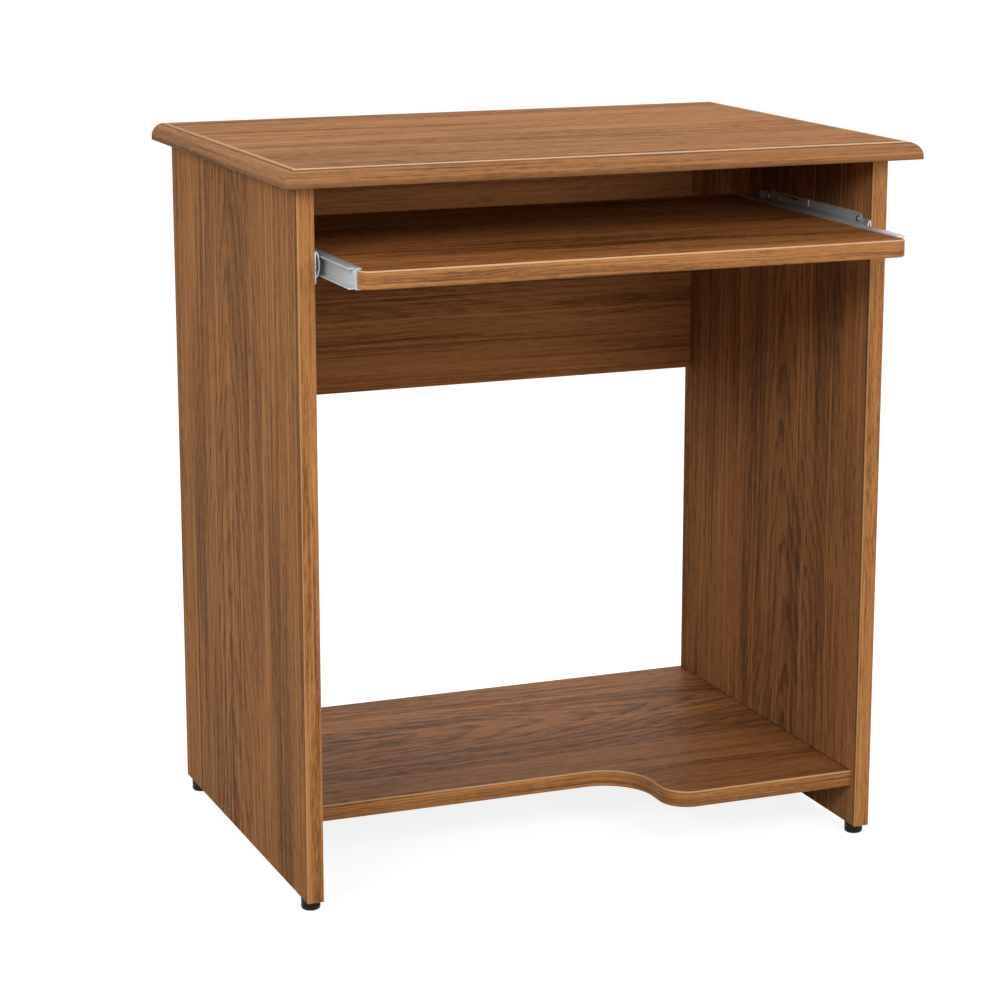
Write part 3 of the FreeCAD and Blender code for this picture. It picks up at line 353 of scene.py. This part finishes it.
edge_highlight = make_edge_highlight()
band = [(0.490, 0.209, 0.066), (0.289, 0.113, 0.034), (0.100, 0.038, 0.012), (0.630, 0.279, 0.092)]
# Colour of the painted highlight on the upright bands' rounded edges.
upright_highlight = (0.545, 0.290, 0.122)

upright_band = wood_print(
    "upright_band_print", upright_grain, (0.07, 0.55, 0.0), band, fine=1.4, arches=0.0, gloss=0.10,
    highlight=upright_highlight)
dress(upright_band, "left_side_front_edge_band", "right_side_front_edge_band",
      "left_side_rear_edge_band", "right_side_rear_edge_band")

# Lower shelf
# A faced board between the side panels, its front routed in an S curve to make room for the feet,
# with a plastic band bent round the curve. Cam locks and dowels hold it to the side panels, and a dark
# joint line with painted shade shows where it meets them. Its print is a darker copy of the walnut:
# painted shade.

flat_grain = (0.0, 0.0, 0.0)
# The shelf's print is the walnut darkened: painted shade.
shelf_shaded_print = [(0.325, 0.134, 0.046), (0.220, 0.088, 0.029), (0.105, 0.044, 0.015), (0.420, 0.170, 0.050)]
shelf_shaded_walnut = wood_print(
    "shelf_shaded_walnut", flat_grain, (0.90, 0.22, 0.0), shelf_shaded_print, fine=0.5, arches=1.15, gloss=0.05,
    ends=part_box("lower_shelf")[1].x)
dress(shelf_shaded_walnut, "lower_shelf")

# Colour of the painted highlight on the bent bands' upper rounding.
cross_highlight = (0.660, 0.400, 0.195)
cross_band = wood_print(
    "cross_band_print", flat_grain, (0.0, 0.0, 0.31), band, fine=1.6, arches=0.0, gloss=0.15,
    highlight=cross_highlight, bent=True)
dress(cross_band, "shelf_front_edge_band", "shelf_rear_edge_band")

# Back panel
# A faced board across the upper half of the rear, which keeps the desk square. It is fixed with cam
# locks at its ends and dowels in its upper edge. Its grain lies across the desk, and its lower edge has
# a plastic band.

level_grain = (math.radians(90), 0.0, 0.0)
back_print = [(0.405, 0.168, 0.060), (0.280, 0.112, 0.038), (0.140, 0.058, 0.020), (0.510, 0.212, 0.070)]
# A dark joint line with painted shade darkens the back panel where its ends meet the side panels.
back_walnut = wood_print(
    "back_walnut", level_grain, (0.15, 0.83, 0.0), back_print, fine=1.2, arches=0.5, gloss=0.006,
    ends=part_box("back_panel")[1].x)
dress(back_walnut, "back_panel")
dress(cross_band, "back_panel_bottom_edge_band")

# Top board and its mouldings
# A faced board with a wrapped moulding glued along its front and both sides, mitred at the front
# corners, and a plastic band at the rear. The wrap's grain runs along it. Along its crest, where it meets
# the board, lies a painted highlight, with a painted shadow line just below.

top_walnut = wood_print(
    "top_walnut", flat_grain, (0.10, 0.62, 0.0), walnut, fine=0.45, arches=0.6, gloss=0.003)
dress(top_walnut, "top_board")
dress(cross_band, "top_rear_edge_band")

# Depths below a moulding's crest: its painted highlight, the painted shadow line below that and the
# painted shade at its foot. Each comes in softly, and its strength is how far it changes the print.
crest_highlight_depth = 0.0002
crest_highlight_strength = 0.8
shadow_line_top, shadow_line_top_full = 0.0002, 0.0006
shadow_line_foot_full, shadow_line_foot = 0.0010, 0.0017
shadow_line_strength = 0.6
foot_shade_start, foot_shade_full = 0.0105, 0.0165
foot_shade_strength = 0.5


def shade_moulding(tree, colour, crest, highlight_colour, dark, darkest):
    """Paints a highlight, a shadow line and a shaded foot onto a moulding's print, by how far below its
    crest it lies.
    """
    height = object_axis(tree, "Z")
    shadow_line_starts = range_node(
        tree, height, crest - shadow_line_foot, crest - shadow_line_foot_full, 0.0, shadow_line_strength)
    shadow_line_ends = range_node(tree, height, crest - shadow_line_top_full, crest - shadow_line_top, 1.0, 0.0)
    shadow_line = math_node(tree, "MULTIPLY", shadow_line_starts, shadow_line_ends)
    # Painted shadow line just below the crest.
    colour = mix_colour(tree, shadow_line, colour, darkest)
    foot_shade = range_node(
        tree, height, crest - foot_shade_full, crest - foot_shade_start, foot_shade_strength, 0.0)
    # Painted shade at the moulding's foot.
    colour = mix_colour(tree, foot_shade, colour, dark)
    crest_highlight = range_node(tree, height, crest - crest_highlight_depth, crest, 0.0, crest_highlight_strength)
    # Painted highlight along the crest.
    return mix_colour(tree, crest_highlight, colour, highlight_colour)


moulding = [(0.425, 0.193, 0.079), (0.285, 0.126, 0.049), (0.115, 0.050, 0.020), (0.545, 0.249, 0.096)]
# Colour of the painted highlight along the mouldings' crest.
crest_highlight_colour = (0.780, 0.490, 0.260)

# The painted highlight is a little broader on the front moulding than on the side ones.
top_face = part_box("top_board")[1].z
front_crest = top_face - 0.0004
side_crest = top_face + 0.0001

front_moulding = wood_print(
    "front_moulding_print", flat_grain, (0.66, 0.0, 0.0), moulding, fine=1.6, arches=0.2, gloss=0.02,
    highlight=crest_highlight_colour, crest=front_crest)
dress(front_moulding, "top_front_moulding")
front_to_rear = (0.0, 0.0, math.radians(90))
side_moulding = wood_print(
    "side_moulding_print", front_to_rear, (0.21, 0.4, 0.0), moulding, fine=1.6, arches=0.2, gloss=0.02,
    highlight=crest_highlight_colour, crest=side_crest)
dress(side_moulding, "top_left_moulding", "top_right_moulding")

# Keyboard tray
# A faced board with rounded front corners and a plastic band all round, which slides out from under
# the top. Its sides sit in the slides' channels and are screwed to them from below.

# The tray's print is darker and more saturated than the walnut of the other boards: painted shade for its
# place under the top.
tray_shaded_print = [(0.425, 0.164, 0.050), (0.245, 0.091, 0.027), (0.092, 0.034, 0.011), (0.550, 0.212, 0.062)]
tray_shaded_walnut = wood_print(
    "tray_shaded_walnut", flat_grain, (0.77, 0.27, 0.0), tray_shaded_print, fine=0.4, arches=0.4, gloss=0.006)
dress(tray_shaded_walnut, "keyboard_tray")

# Colour of the painted highlight on the tray band's upper rounding.
tray_highlight = (0.780, 0.520, 0.290)
tray_band = wood_print(
    "tray_band_print", flat_grain, (0.0, 0.0, 0.31), band, fine=1.6, arches=0.0, gloss=0.15,
    highlight=tray_highlight, bent=True)
dress(tray_band, "tray_edge_band")

# Slides
# Rolled sheet steel with a dull zinc plating. A rail is screwed to each side panel: a flat strip with
# a bowed rib, a bowed stop at its front and a raised tongue. A channel with rolled lips holds the
# tray's edge and runs over the rib. The left pair is modelled, and mirrored to the right.


def metal_finish(name, colour, stain, rough, metallic=1.0, stretch=(9.0, 9.0, 9.0)):
    """Plated or bare metal with faint cloudy stains and fine rolling marks."""
    material = bpy.data.materials.new(name)
    material.use_nodes = True
    tree = material.node_tree
    surface = tree.nodes["Principled BSDF"]
    place = tree.nodes.new("ShaderNodeTexCoord").outputs["Object"]
    drawn = tree.nodes.new("ShaderNodeMapping")
    drawn.inputs["Scale"].default_value = stretch
    tree.links.new(place, drawn.inputs["Vector"])
    clouds = tree.nodes.new("ShaderNodeTexNoise")
    clouds.inputs["Scale"].default_value = 4.0
    clouds.inputs["Detail"].default_value = 5.0
    tree.links.new(drawn.outputs["Vector"], clouds.inputs["Vector"])
    spread = range_node(tree, clouds.outputs["Fac"], 0.30, 0.70)
    tree.links.new(ramp_node(tree, spread, [(0.0, stain), (1.0, colour)]), surface.inputs["Base Color"])
    tree.links.new(math_node(tree, "MULTIPLY_ADD", spread, -0.10, rough), surface.inputs["Roughness"])
    surface.inputs["Metallic"].default_value = metallic
    emboss = tree.nodes.new("ShaderNodeBump")
    emboss.inputs["Strength"].default_value = 0.05
    emboss.inputs["Distance"].default_value = 0.0002
    tree.links.new(clouds.outputs["Fac"], emboss.inputs["Height"])
    tree.links.new(emboss.outputs["Normal"], surface.inputs["Normal"])
    return material


zinc_plate = metal_finish(
    "zinc_plate", (0.60, 0.625, 0.65), (0.54, 0.565, 0.59), 0.50, metallic=0.45, stretch=(60.0, 3.0, 60.0))

steel = 0.0012
broken_edge = 0.0002
nearly_along = 0.99
rail_low, rail_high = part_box("left_slide_rail")
panel_face = rail_low.x
slide_middle = (rail_low.z + rail_high.z) / 2


def new_block(name, low, high):
    """A block between two corners, its origin at the frame's."""
    bpy.ops.object.select_all(action="DESELECT")
    middle = [(a + b) / 2 for a, b in zip(low, high)]
    size = [b - a for a, b in zip(low, high)]
    bpy.ops.mesh.primitive_cube_add(size=1.0, location=middle, scale=size)
    bpy.ops.object.transform_apply(location=True, rotation=True, scale=True)
    bpy.context.object.name = name
    return bpy.context.object


def new_rod(name, middle, radius, length, turn, caps="NGON"):
    """A round rod about a middle, its origin at the frame's."""
    bpy.ops.object.select_all(action="DESELECT")
    bpy.ops.mesh.primitive_cylinder_add(
        vertices=48, radius=1.0, depth=length, location=middle, rotation=turn, scale=(*radius, 1.0),
        end_fill_type=caps)
    bpy.ops.object.transform_apply(location=True, rotation=True, scale=True)
    bpy.context.object.name = name
    return bpy.context.object


def apply_change(piece, kind, **settings):
    """Adds a modifier to a piece and applies it at once."""
    change = piece.modifiers.new(kind.lower(), kind)
    for name, value in settings.items():
        setattr(change, name, value)
    bpy.context.view_layer.objects.active = piece
    bpy.ops.object.modifier_apply(modifier=change.name)


def join_with(piece, tool):
    """Joins a tool to a piece as one solid."""
    apply_change(piece, "BOOLEAN", operation="UNION", object=tool)
    bpy.data.objects.remove(tool)


def cut_with(piece, tool):
    """Cuts a tool's shape out of a piece."""
    apply_change(piece, "BOOLEAN", operation="DIFFERENCE", object=tool)
    bpy.data.objects.remove(tool)


def pick(piece, kind, wanted):
    """Goes into edit mode with the edges or faces whose middle and direction pass a test selected."""
    bpy.ops.object.select_all(action="DESELECT")
    piece.select_set(True)
    bpy.context.view_layer.objects.active = piece
    bpy.ops.object.mode_set(mode="EDIT")
    bpy.ops.mesh.select_mode(type=kind)
    bpy.ops.mesh.select_all(action="DESELECT")
    bpy.ops.object.mode_set(mode="OBJECT")
    mesh = piece.data
    if kind == "EDGE":
        for edge in mesh.edges:
            first, last = (mesh.vertices[number].co for number in edge.vertices)
            edge.select = wanted((first + last) / 2, (last - first).normalized())
    else:
        for face in mesh.polygons:
            face.select = wanted(face.center, face.normal)
    bpy.ops.object.mode_set(mode="EDIT")


def round_corners(piece, wanted, radius, steps=6):
    """Rounds the edges that pass a test."""
    pick(piece, "EDGE", wanted)
    bpy.ops.mesh.bevel(offset=radius, offset_type="OFFSET", segments=steps, affect="EDGES")
    bpy.ops.object.mode_set(mode="OBJECT")


def face_outwards(piece):
    """Turns every face of a closed piece outwards."""
    pick(piece, "FACE", lambda middle, normal: True)
    bpy.ops.mesh.normals_make_consistent(inside=False)
    bpy.ops.object.mode_set(mode="OBJECT")


def finish_piece(piece, material):
    """Breaks the sharp edges, sets the shading and gives the piece its material."""
    apply_change(piece, "BEVEL", width=broken_edge, segments=2, limit_method="ANGLE",
                 angle_limit=math.radians(40), harden_normals=False)
    face_outwards(piece)
    bpy.ops.object.shade_smooth_by_angle(angle=math.radians(35))
    piece.data.materials.clear()
    piece.data.materials.append(material)


def copy_piece(piece, name, place=(0.0, 0.0, 0.0), scale=(1.0, 1.0, 1.0)):
    """A copy of a piece with its own mesh, moved or scaled in that mesh."""
    copy = piece.copy()
    copy.data = piece.data.copy()
    copy.name = name
    bpy.context.scene.collection.objects.link(copy)
    bpy.ops.object.select_all(action="DESELECT")
    copy.select_set(True)
    bpy.context.view_layer.objects.active = copy
    copy.location = place
    copy.scale = scale
    bpy.ops.object.transform_apply(location=True, rotation=True, scale=True)
    return copy


def other_hand(piece, name):
    """A copy of a left-hand piece, mirrored to the right."""
    copy = copy_piece(piece, name, scale=(-1.0, 1.0, 1.0))
    face_outwards(copy)
    return copy


# The rail: its low nose and rear, its rounded corners, the rib and the bowed stop.
nose_length = 0.020
nose_top = slide_middle + 0.0155
plate_top = slide_middle + 0.021
rear_step = 0.030
rail_corner = 0.004
plate_corner = 0.0065
rib_reach = 0.0098
rib_half = 0.0082
rib_sheet = 0.0010
rib_front = 0.022
rib_rear = 0.006
bow_reach = 0.0045
bow_half = 0.0132
bow_up = 0.0022
bow_length = 0.005
along_y = (math.radians(90), 0.0, 0.0)

# Each slot: its place, back from the rail's front and up from its middle, then its length and width.
upper_slot = (0.181, 0.0172, 0.036, 0.0020)
lower_slot = (0.130, -0.0138, 0.016, 0.0034)
nose_slot = (0.010, 0.0122, 0.009, 0.0018)
slot_end = 0.49

# The tongue and its root: where each starts and ends along the rail, and its lower and upper edge
# above the rail's middle.
tongue_sheet = 0.0008
tongue_corner = 0.0016
tongue_strip = (0.150, 0.208, 0.0122, 0.0156)
tongue_root = (0.138, 0.160, 0.0122, 0.0206)
tongue_rivet_back = 0.205
tongue_rivet_up = 0.0139


def runs_across(middle, direction):
    """True for an edge that goes through the sheet."""
    return abs(direction.x) > nearly_along


left_rail = new_block("left_rail", rail_low, (panel_face + steel, rail_high.y, plate_top))
cut_with(left_rail, new_block("nose_cut", (panel_face - steel, rail_low.y - steel, nose_top),
                              (panel_face + 2 * steel, rail_low.y + nose_length, plate_top + steel)))
cut_with(left_rail, new_block("rear_cut", (panel_face - steel, rail_high.y - rear_step, rail_high.z),
                              (panel_face + 2 * steel, rail_high.y + steel, plate_top + steel)))
round_corners(
    left_rail, lambda middle, direction: runs_across(middle, direction)
    and middle.z > plate_top - steel and middle.y < rail_low.y + 2 * nose_length, plate_corner)
round_corners(
    left_rail, lambda middle, direction: runs_across(middle, direction)
    and (middle.y < rail_low.y + steel or middle.y > rail_high.y - steel), rail_corner)
for slot_back, slot_up, slot_length, slot_width in (upper_slot, lower_slot, nose_slot):
    slot_y = rail_low.y + slot_back
    slot_z = slide_middle + slot_up
    slot_tool = new_block("slot", (panel_face - steel, slot_y - slot_length / 2, slot_z - slot_width / 2),
                          (panel_face + 2 * steel, slot_y + slot_length / 2, slot_z + slot_width / 2))
    round_corners(slot_tool, runs_across, slot_end * slot_width)
    cut_with(left_rail, slot_tool)


def bowed_strip(name, front, rear, up, reach, half):
    """A strip bowed out from the rail, between two places along it."""
    middle = (panel_face + steel / 2, (front + rear) / 2, slide_middle + up)
    strip = new_rod(name, middle, (reach, half), rear - front, along_y, caps="NOTHING")
    pick(strip, "FACE", lambda middle, normal: True)
    bpy.ops.mesh.bisect(
        plane_co=(panel_face + steel / 2, 0.0, 0.0), plane_no=(1.0, 0.0, 0.0), clear_inner=True)
    bpy.ops.object.mode_set(mode="OBJECT")
    apply_change(strip, "SOLIDIFY", thickness=rib_sheet, offset=-1.0)
    return strip


join_with(left_rail, bowed_strip(
    "rib", rail_low.y + rib_front, rail_high.y - rib_rear, 0.0, rib_reach, rib_half))
join_with(left_rail, bowed_strip(
    "bow", rail_low.y, rail_low.y + bow_length, bow_up, bow_reach, bow_half))

for part_front, part_rear, part_low, part_high in (tongue_strip, tongue_root):
    tongue = new_block(
        "tongue", (panel_face + steel / 2, rail_low.y + part_front, slide_middle + part_low),
        (panel_face + steel + tongue_sheet, rail_low.y + part_rear, slide_middle + part_high))
    round_corners(tongue, runs_across, tongue_corner)
    join_with(left_rail, tongue)


rivet_radius = 0.0020
rivet_flatness = 0.45


def new_rivet(out, along, up):
    """The flat-domed head of a rivet: out from the panel, along the desk's depth, up from the middle."""
    bpy.ops.object.select_all(action="DESELECT")
    bpy.ops.mesh.primitive_uv_sphere_add(
        segments=24, ring_count=12, radius=rivet_radius, scale=(rivet_flatness, 1.0, 1.0),
        location=(panel_face + out, along, slide_middle + up))
    bpy.ops.object.transform_apply(location=True, rotation=True, scale=True)
    return bpy.context.object


join_with(left_rail, new_rivet(steel + tongue_sheet, rail_low.y + tongue_rivet_back, tongue_rivet_up))
finish_piece(left_rail, zinc_plate)
right_rail = other_hand(left_rail, "right_rail")

# The channel: its web, its flanges with rolled lips, and the races for the balls.
channel_low, channel_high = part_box("left_tray_channel")
web_out = 0.0118
web_near = panel_face + web_out
web_far = web_near + steel
upper_flange = panel_face + 0.0185
lip_short = 0.006
lip_bead = 0.0008
flange_corner = 0.003
ball_out = panel_face + 0.0086
ball_up = 0.00775
race_radius = 0.00175
channel_rivet_back = 0.008
channel_rivet_up = 0.006
channel_middle = (channel_low.y + channel_high.y) / 2
channel_length = channel_high.y - channel_low.y

left_channel = new_block("left_channel", (web_near, channel_low.y, channel_low.z + steel / 2),
                         (web_far, channel_high.y, channel_high.z - steel / 2))
for side in (-1, 1):
    sheet_middle = slide_middle + side * (channel_high.z - slide_middle - steel / 2)
    reach = upper_flange if side > 0 else channel_high.x
    flange = new_block("flange", (channel_low.x + lip_bead, channel_low.y, sheet_middle - steel / 2),
                       (reach, channel_high.y, sheet_middle + steel / 2))
    cut_with(flange, new_block(
        "lip_cut", (channel_low.x - steel, channel_low.y - steel, sheet_middle - steel),
        (web_near, channel_low.y + lip_short, sheet_middle + steel)))
    round_corners(
        flange, lambda middle, direction: abs(direction.z) > nearly_along and middle.x > web_far,
        flange_corner)
    join_with(flange, new_rod(
        "lip_bead", (channel_low.x + lip_bead, channel_middle + lip_short / 2, sheet_middle),
        (lip_bead, lip_bead), channel_length - lip_short, along_y))
    cut_with(flange, new_rod(
        "race", (ball_out, channel_middle, slide_middle + side * ball_up), (race_radius, race_radius),
        2 * channel_length, along_y))
    join_with(left_channel, flange)

join_with(left_channel, new_rivet(web_out, channel_low.y + channel_rivet_back, channel_rivet_up))
finish_piece(left_channel, zinc_plate)
right_channel = other_hand(left_channel, "right_channel")

for hand, rail, channel in (("left", left_rail, left_channel), ("right", right_rail, right_channel)):
    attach(rail, "desk")
    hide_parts(f"{hand}_slide_rail")
    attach(channel, "tray")
    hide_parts(f"{hand}_tray_channel")

# Ball cages and balls
# Thin bare strip bent round the rail's rib, with a punched pocket for each ball. The balls are hardened
# and polished, and run between the rail and the channel.

strip_steel = metal_finish("strip_steel", (0.56, 0.56, 0.57), (0.42, 0.42, 0.43), 0.45)
dress(strip_steel, "left_ball_cage", "right_ball_cage")
ball_steel = metal_finish("ball_steel", (0.82, 0.82, 0.84), (0.74, 0.74, 0.76), 0.18)
dress(ball_steel, "left_slide_balls", "right_slide_balls")

# Screws, cam bolts, cam locks and dowels
# Zinc-plated pan-head screws hold the slides and the feet. Steel bolts and die-cast locks pull the
# boards together, and beech dowels keep them in line.

screw_steel = metal_finish("screw_steel", (0.42, 0.42, 0.43), (0.30, 0.30, 0.30), 0.45)
dress(screw_steel, "left_rail_screws", "right_rail_screws", "left_channel_screws", "right_channel_screws",
      "foot_screws", "shelf_cam_bolts", "back_panel_cam_bolts", "side_cam_bolts")
cam_alloy = metal_finish("cam_alloy", (0.55, 0.55, 0.56), (0.40, 0.40, 0.41), 0.52)
dress(cam_alloy, "shelf_cam_locks", "back_panel_cam_locks", "side_cam_locks")

beech_colours = [(0.66, 0.47, 0.30), (0.56, 0.38, 0.23), (0.40, 0.25, 0.14), (0.62, 0.43, 0.27)]
beech = wood_print("beech", flat_grain, (0.0, 0.0, 0.0), beech_colours, arches=0.2, satin=0.6)
dress(beech, "shelf_dowels", "back_panel_dowels", "top_dowels")

# Cover caps
# Thin discs of moulded plastic in the laminate's brown. They are pressed over the cam locks to hide
# them.


def moulded_plastic(name, colour, wear_and_highlight, rough):
    """Moulded plastic with a fine spark-eroded texture and slightly paler worn spots."""
    material = bpy.data.materials.new(name)
    material.use_nodes = True
    tree = material.node_tree
    surface = tree.nodes["Principled BSDF"]
    place = tree.nodes.new("ShaderNodeTexCoord").outputs["Object"]
    wear = tree.nodes.new("ShaderNodeTexNoise")
    wear.inputs["Scale"].default_value = 90.0
    wear.inputs["Detail"].default_value = 4.0
    tree.links.new(place, wear.inputs["Vector"])
    spread = range_node(tree, wear.outputs["Fac"], 0.40, 0.75)
    tree.links.new(ramp_node(tree, spread, [(0.0, colour), (1.0, wear_and_highlight)]), surface.inputs["Base Color"])
    tree.links.new(math_node(tree, "MULTIPLY_ADD", spread, 0.12, rough), surface.inputs["Roughness"])
    sparks = tree.nodes.new("ShaderNodeTexNoise")
    sparks.inputs["Scale"].default_value = 2600.0
    tree.links.new(place, sparks.inputs["Vector"])
    emboss = tree.nodes.new("ShaderNodeBump")
    emboss.inputs["Strength"].default_value = 0.15
    emboss.inputs["Distance"].default_value = 0.0001
    tree.links.new(sparks.outputs["Fac"], emboss.inputs["Height"])
    tree.links.new(emboss.outputs["Normal"], surface.inputs["Normal"])
    surface.inputs["Specular IOR Level"].default_value = 0.2
    return material


cap_plastic = moulded_plastic("cap_plastic", (0.150, 0.068, 0.030), (0.190, 0.090, 0.042), 0.42)
dress(cap_plastic, "cam_cover_caps")

# Feet
# Black moulded plastic glides under the front and rear of each side panel, with a ring groove and a
# rounded sole. Each is held by a screw from below, in a recess.

foot_plastic = moulded_plastic("foot_plastic", (0.003, 0.003, 0.003), (0.006, 0.006, 0.006), 0.38)

foot_low, foot_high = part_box("front_left_foot")
foot_middle = (foot_low + foot_high) / 2
foot_radius = (foot_high.x - foot_low.x) / 2
foot_height = foot_high.z - foot_low.z
sole_round = 0.003
ring_low = 0.0055
ring_high = 0.0070
ring_depth = 0.0007
recess_wall = 0.005
recess_depth = 0.004
flat_sole = 0.0001

front_left_glide = new_rod(
    "front_left_glide", foot_middle, (foot_radius, foot_radius), foot_height, (0.0, 0.0, 0.0))
for cut_height in (ring_low, ring_high):
    pick(front_left_glide, "FACE", lambda middle, normal: True)
    bpy.ops.mesh.bisect(plane_co=(0.0, 0.0, foot_low.z + cut_height), plane_no=(0.0, 0.0, 1.0))
    bpy.ops.object.mode_set(mode="OBJECT")
pick(front_left_glide, "FACE", lambda middle, normal: ring_low < middle.z - foot_low.z < ring_high
     and abs(normal.z) < 0.1)
bpy.ops.mesh.extrude_region_shrink_fatten(TRANSFORM_OT_shrink_fatten={"value": -ring_depth})
bpy.ops.object.mode_set(mode="OBJECT")
pick(front_left_glide, "FACE", lambda middle, normal: normal.z < -0.9
     and middle.z < foot_low.z + ring_low / 2)
bpy.ops.mesh.bevel(offset=sole_round, offset_type="OFFSET", segments=6, affect="EDGES")
bpy.ops.object.mode_set(mode="OBJECT")
pick(front_left_glide, "FACE", lambda middle, normal: normal.z < -nearly_along
     and middle.z < foot_low.z + flat_sole)
bpy.ops.mesh.inset(thickness=recess_wall - sole_round, depth=0.0)
bpy.ops.mesh.extrude_region_move(TRANSFORM_OT_translate={"value": (0.0, 0.0, recess_depth)})
bpy.ops.object.mode_set(mode="OBJECT")
finish_piece(front_left_glide, foot_plastic)

glides = {"front_left_foot": front_left_glide}
for node_name in ("front_right_foot", "rear_left_foot", "rear_right_foot"):
    glides[node_name] = copy_piece(
        front_left_glide, node_name.replace("foot", "glide"), place=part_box(node_name)[0] - foot_low)
for node_name, glide in glides.items():
    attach(glide, "desk")
    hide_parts(node_name)

# Floor
# A plain white studio floor with a dull paint. It glows to the eye alone, a little more away from the
# desk, so that it looks white and still keeps the desk's soft shadow.

floor_size = 60.0
floor_grey = 0.40
near_desk, near_glow = 0.8, 0.85
far_from_desk, far_glow = 4.0, 0.90
bpy.ops.object.select_all(action="DESELECT")
bpy.ops.mesh.primitive_plane_add(size=floor_size, location=(0.0, 0.0, 0.0))
floor = bpy.context.object
floor.name = "studio_floor"
floor_paint = bpy.data.materials.new("studio_floor_paint")
floor_paint.use_nodes = True
tree = floor_paint.node_tree
paint = tree.nodes["Principled BSDF"]
paint.inputs["Base Color"].default_value = (floor_grey, floor_grey, floor_grey, 1.0)
paint.inputs["Roughness"].default_value = 0.9
paint.inputs["Specular IOR Level"].default_value = 0.0
paint.inputs["Emission Color"].default_value = (1.0, 1.0, 1.0, 1.0)


def seen_by_eye(tree):
    """One for what is seen directly, mirrored or through glass, and nought for what lights the desk."""
    sight = tree.nodes.new("ShaderNodeLightPath")
    seen = math_node(tree, "MAXIMUM", sight.outputs["Is Camera Ray"], sight.outputs["Is Glossy Ray"])
    return math_node(tree, "MAXIMUM", seen, sight.outputs["Is Transmission Ray"])


from_desk = tree.nodes.new("ShaderNodeVectorMath")
from_desk.operation = "LENGTH"
tree.links.new(tree.nodes.new("ShaderNodeTexCoord").outputs["Object"], from_desk.inputs[0])
glow = range_node(tree, from_desk.outputs["Value"], near_desk, far_from_desk, near_glow, far_glow)
tree.links.new(math_node(tree, "MULTIPLY", seen_by_eye(tree), glow), paint.inputs["Emission Strength"])
floor.data.materials.append(floor_paint)

# Light
# A white studio with an even, soft surround and five soft boxes: one high behind the desk for its top,
# two in front for the edges and the space under the top, one at the front left and one at the left for
# the left side panel.

world = bpy.data.worlds.new("studio")
bpy.context.scene.world = world
world.use_nodes = True
tree = world.node_tree
surround = tree.nodes["Background"]
surround.inputs["Color"].default_value = (1.0, 1.0, 1.0, 1.0)
surround_level = 0.32
level = math_node(tree, "MULTIPLY_ADD", seen_by_eye(tree), 1.0 - surround_level, surround_level)
tree.links.new(level, surround.inputs["Strength"])


def soft_box(name, place, aim, width, height, watts):
    """A rectangular soft light at a place, turned towards a point."""
    lamp = bpy.data.lights.new(name, "AREA")
    lamp.shape = "RECTANGLE"
    lamp.size = width
    lamp.size_y = height
    lamp.energy = watts
    box = bpy.data.objects.new(name, lamp)
    bpy.context.scene.collection.objects.link(box)
    box.location = place
    box.rotation_euler = (Vector(aim) - Vector(place)).to_track_quat("-Z", "Y").to_euler()


desk_middle = (0.0, 0.0, 0.45)
top_middle = (0.0, 0.0, 0.75)
soft_box("top_box", (0.9, 1.5, 2.6), top_middle, width=2.0, height=1.4, watts=45.0)
soft_box("front_box", (0.2, -3.0, 2.1), desk_middle, width=2.0, height=1.4, watts=27.0)
soft_box("eye_box", (0.9, -3.5, 1.17), desk_middle, width=1.6, height=0.5, watts=25.0)
soft_box("side_box", (-2.4, -2.0, 1.7), desk_middle, width=1.2, height=0.6, watts=28.0)
soft_box("left_strip", (-2.8, -0.3, 2.0), desk_middle, width=0.5, height=1.6, watts=15.5)

# Camera
# In front, to the left and a little above, as far away as the photograph's perspective shows. Its
# focal length was found in pixels of the photograph, and becomes millimetres on the sensor.

image_width = 1000.0
sensor = 36.0
focal_pixels = 2902.0
camera_place = Vector((-1.1805, -2.8441, 1.0922))
camera_azimuth = math.radians(-21.788)
camera_elevation = math.radians(13.188)

camera_data = bpy.data.cameras.new("photo_camera")
camera_data.sensor_width = sensor
camera_data.lens = sensor * focal_pixels / image_width
camera = bpy.data.objects.new("photo_camera", camera_data)
bpy.context.scene.collection.objects.link(camera)
camera.location = camera_place
camera.rotation_euler = (math.radians(90) - camera_elevation, 0.0, camera_azimuth)
bpy.context.scene.camera = camera
bpy.context.scene.view_settings.view_transform = "Standard"
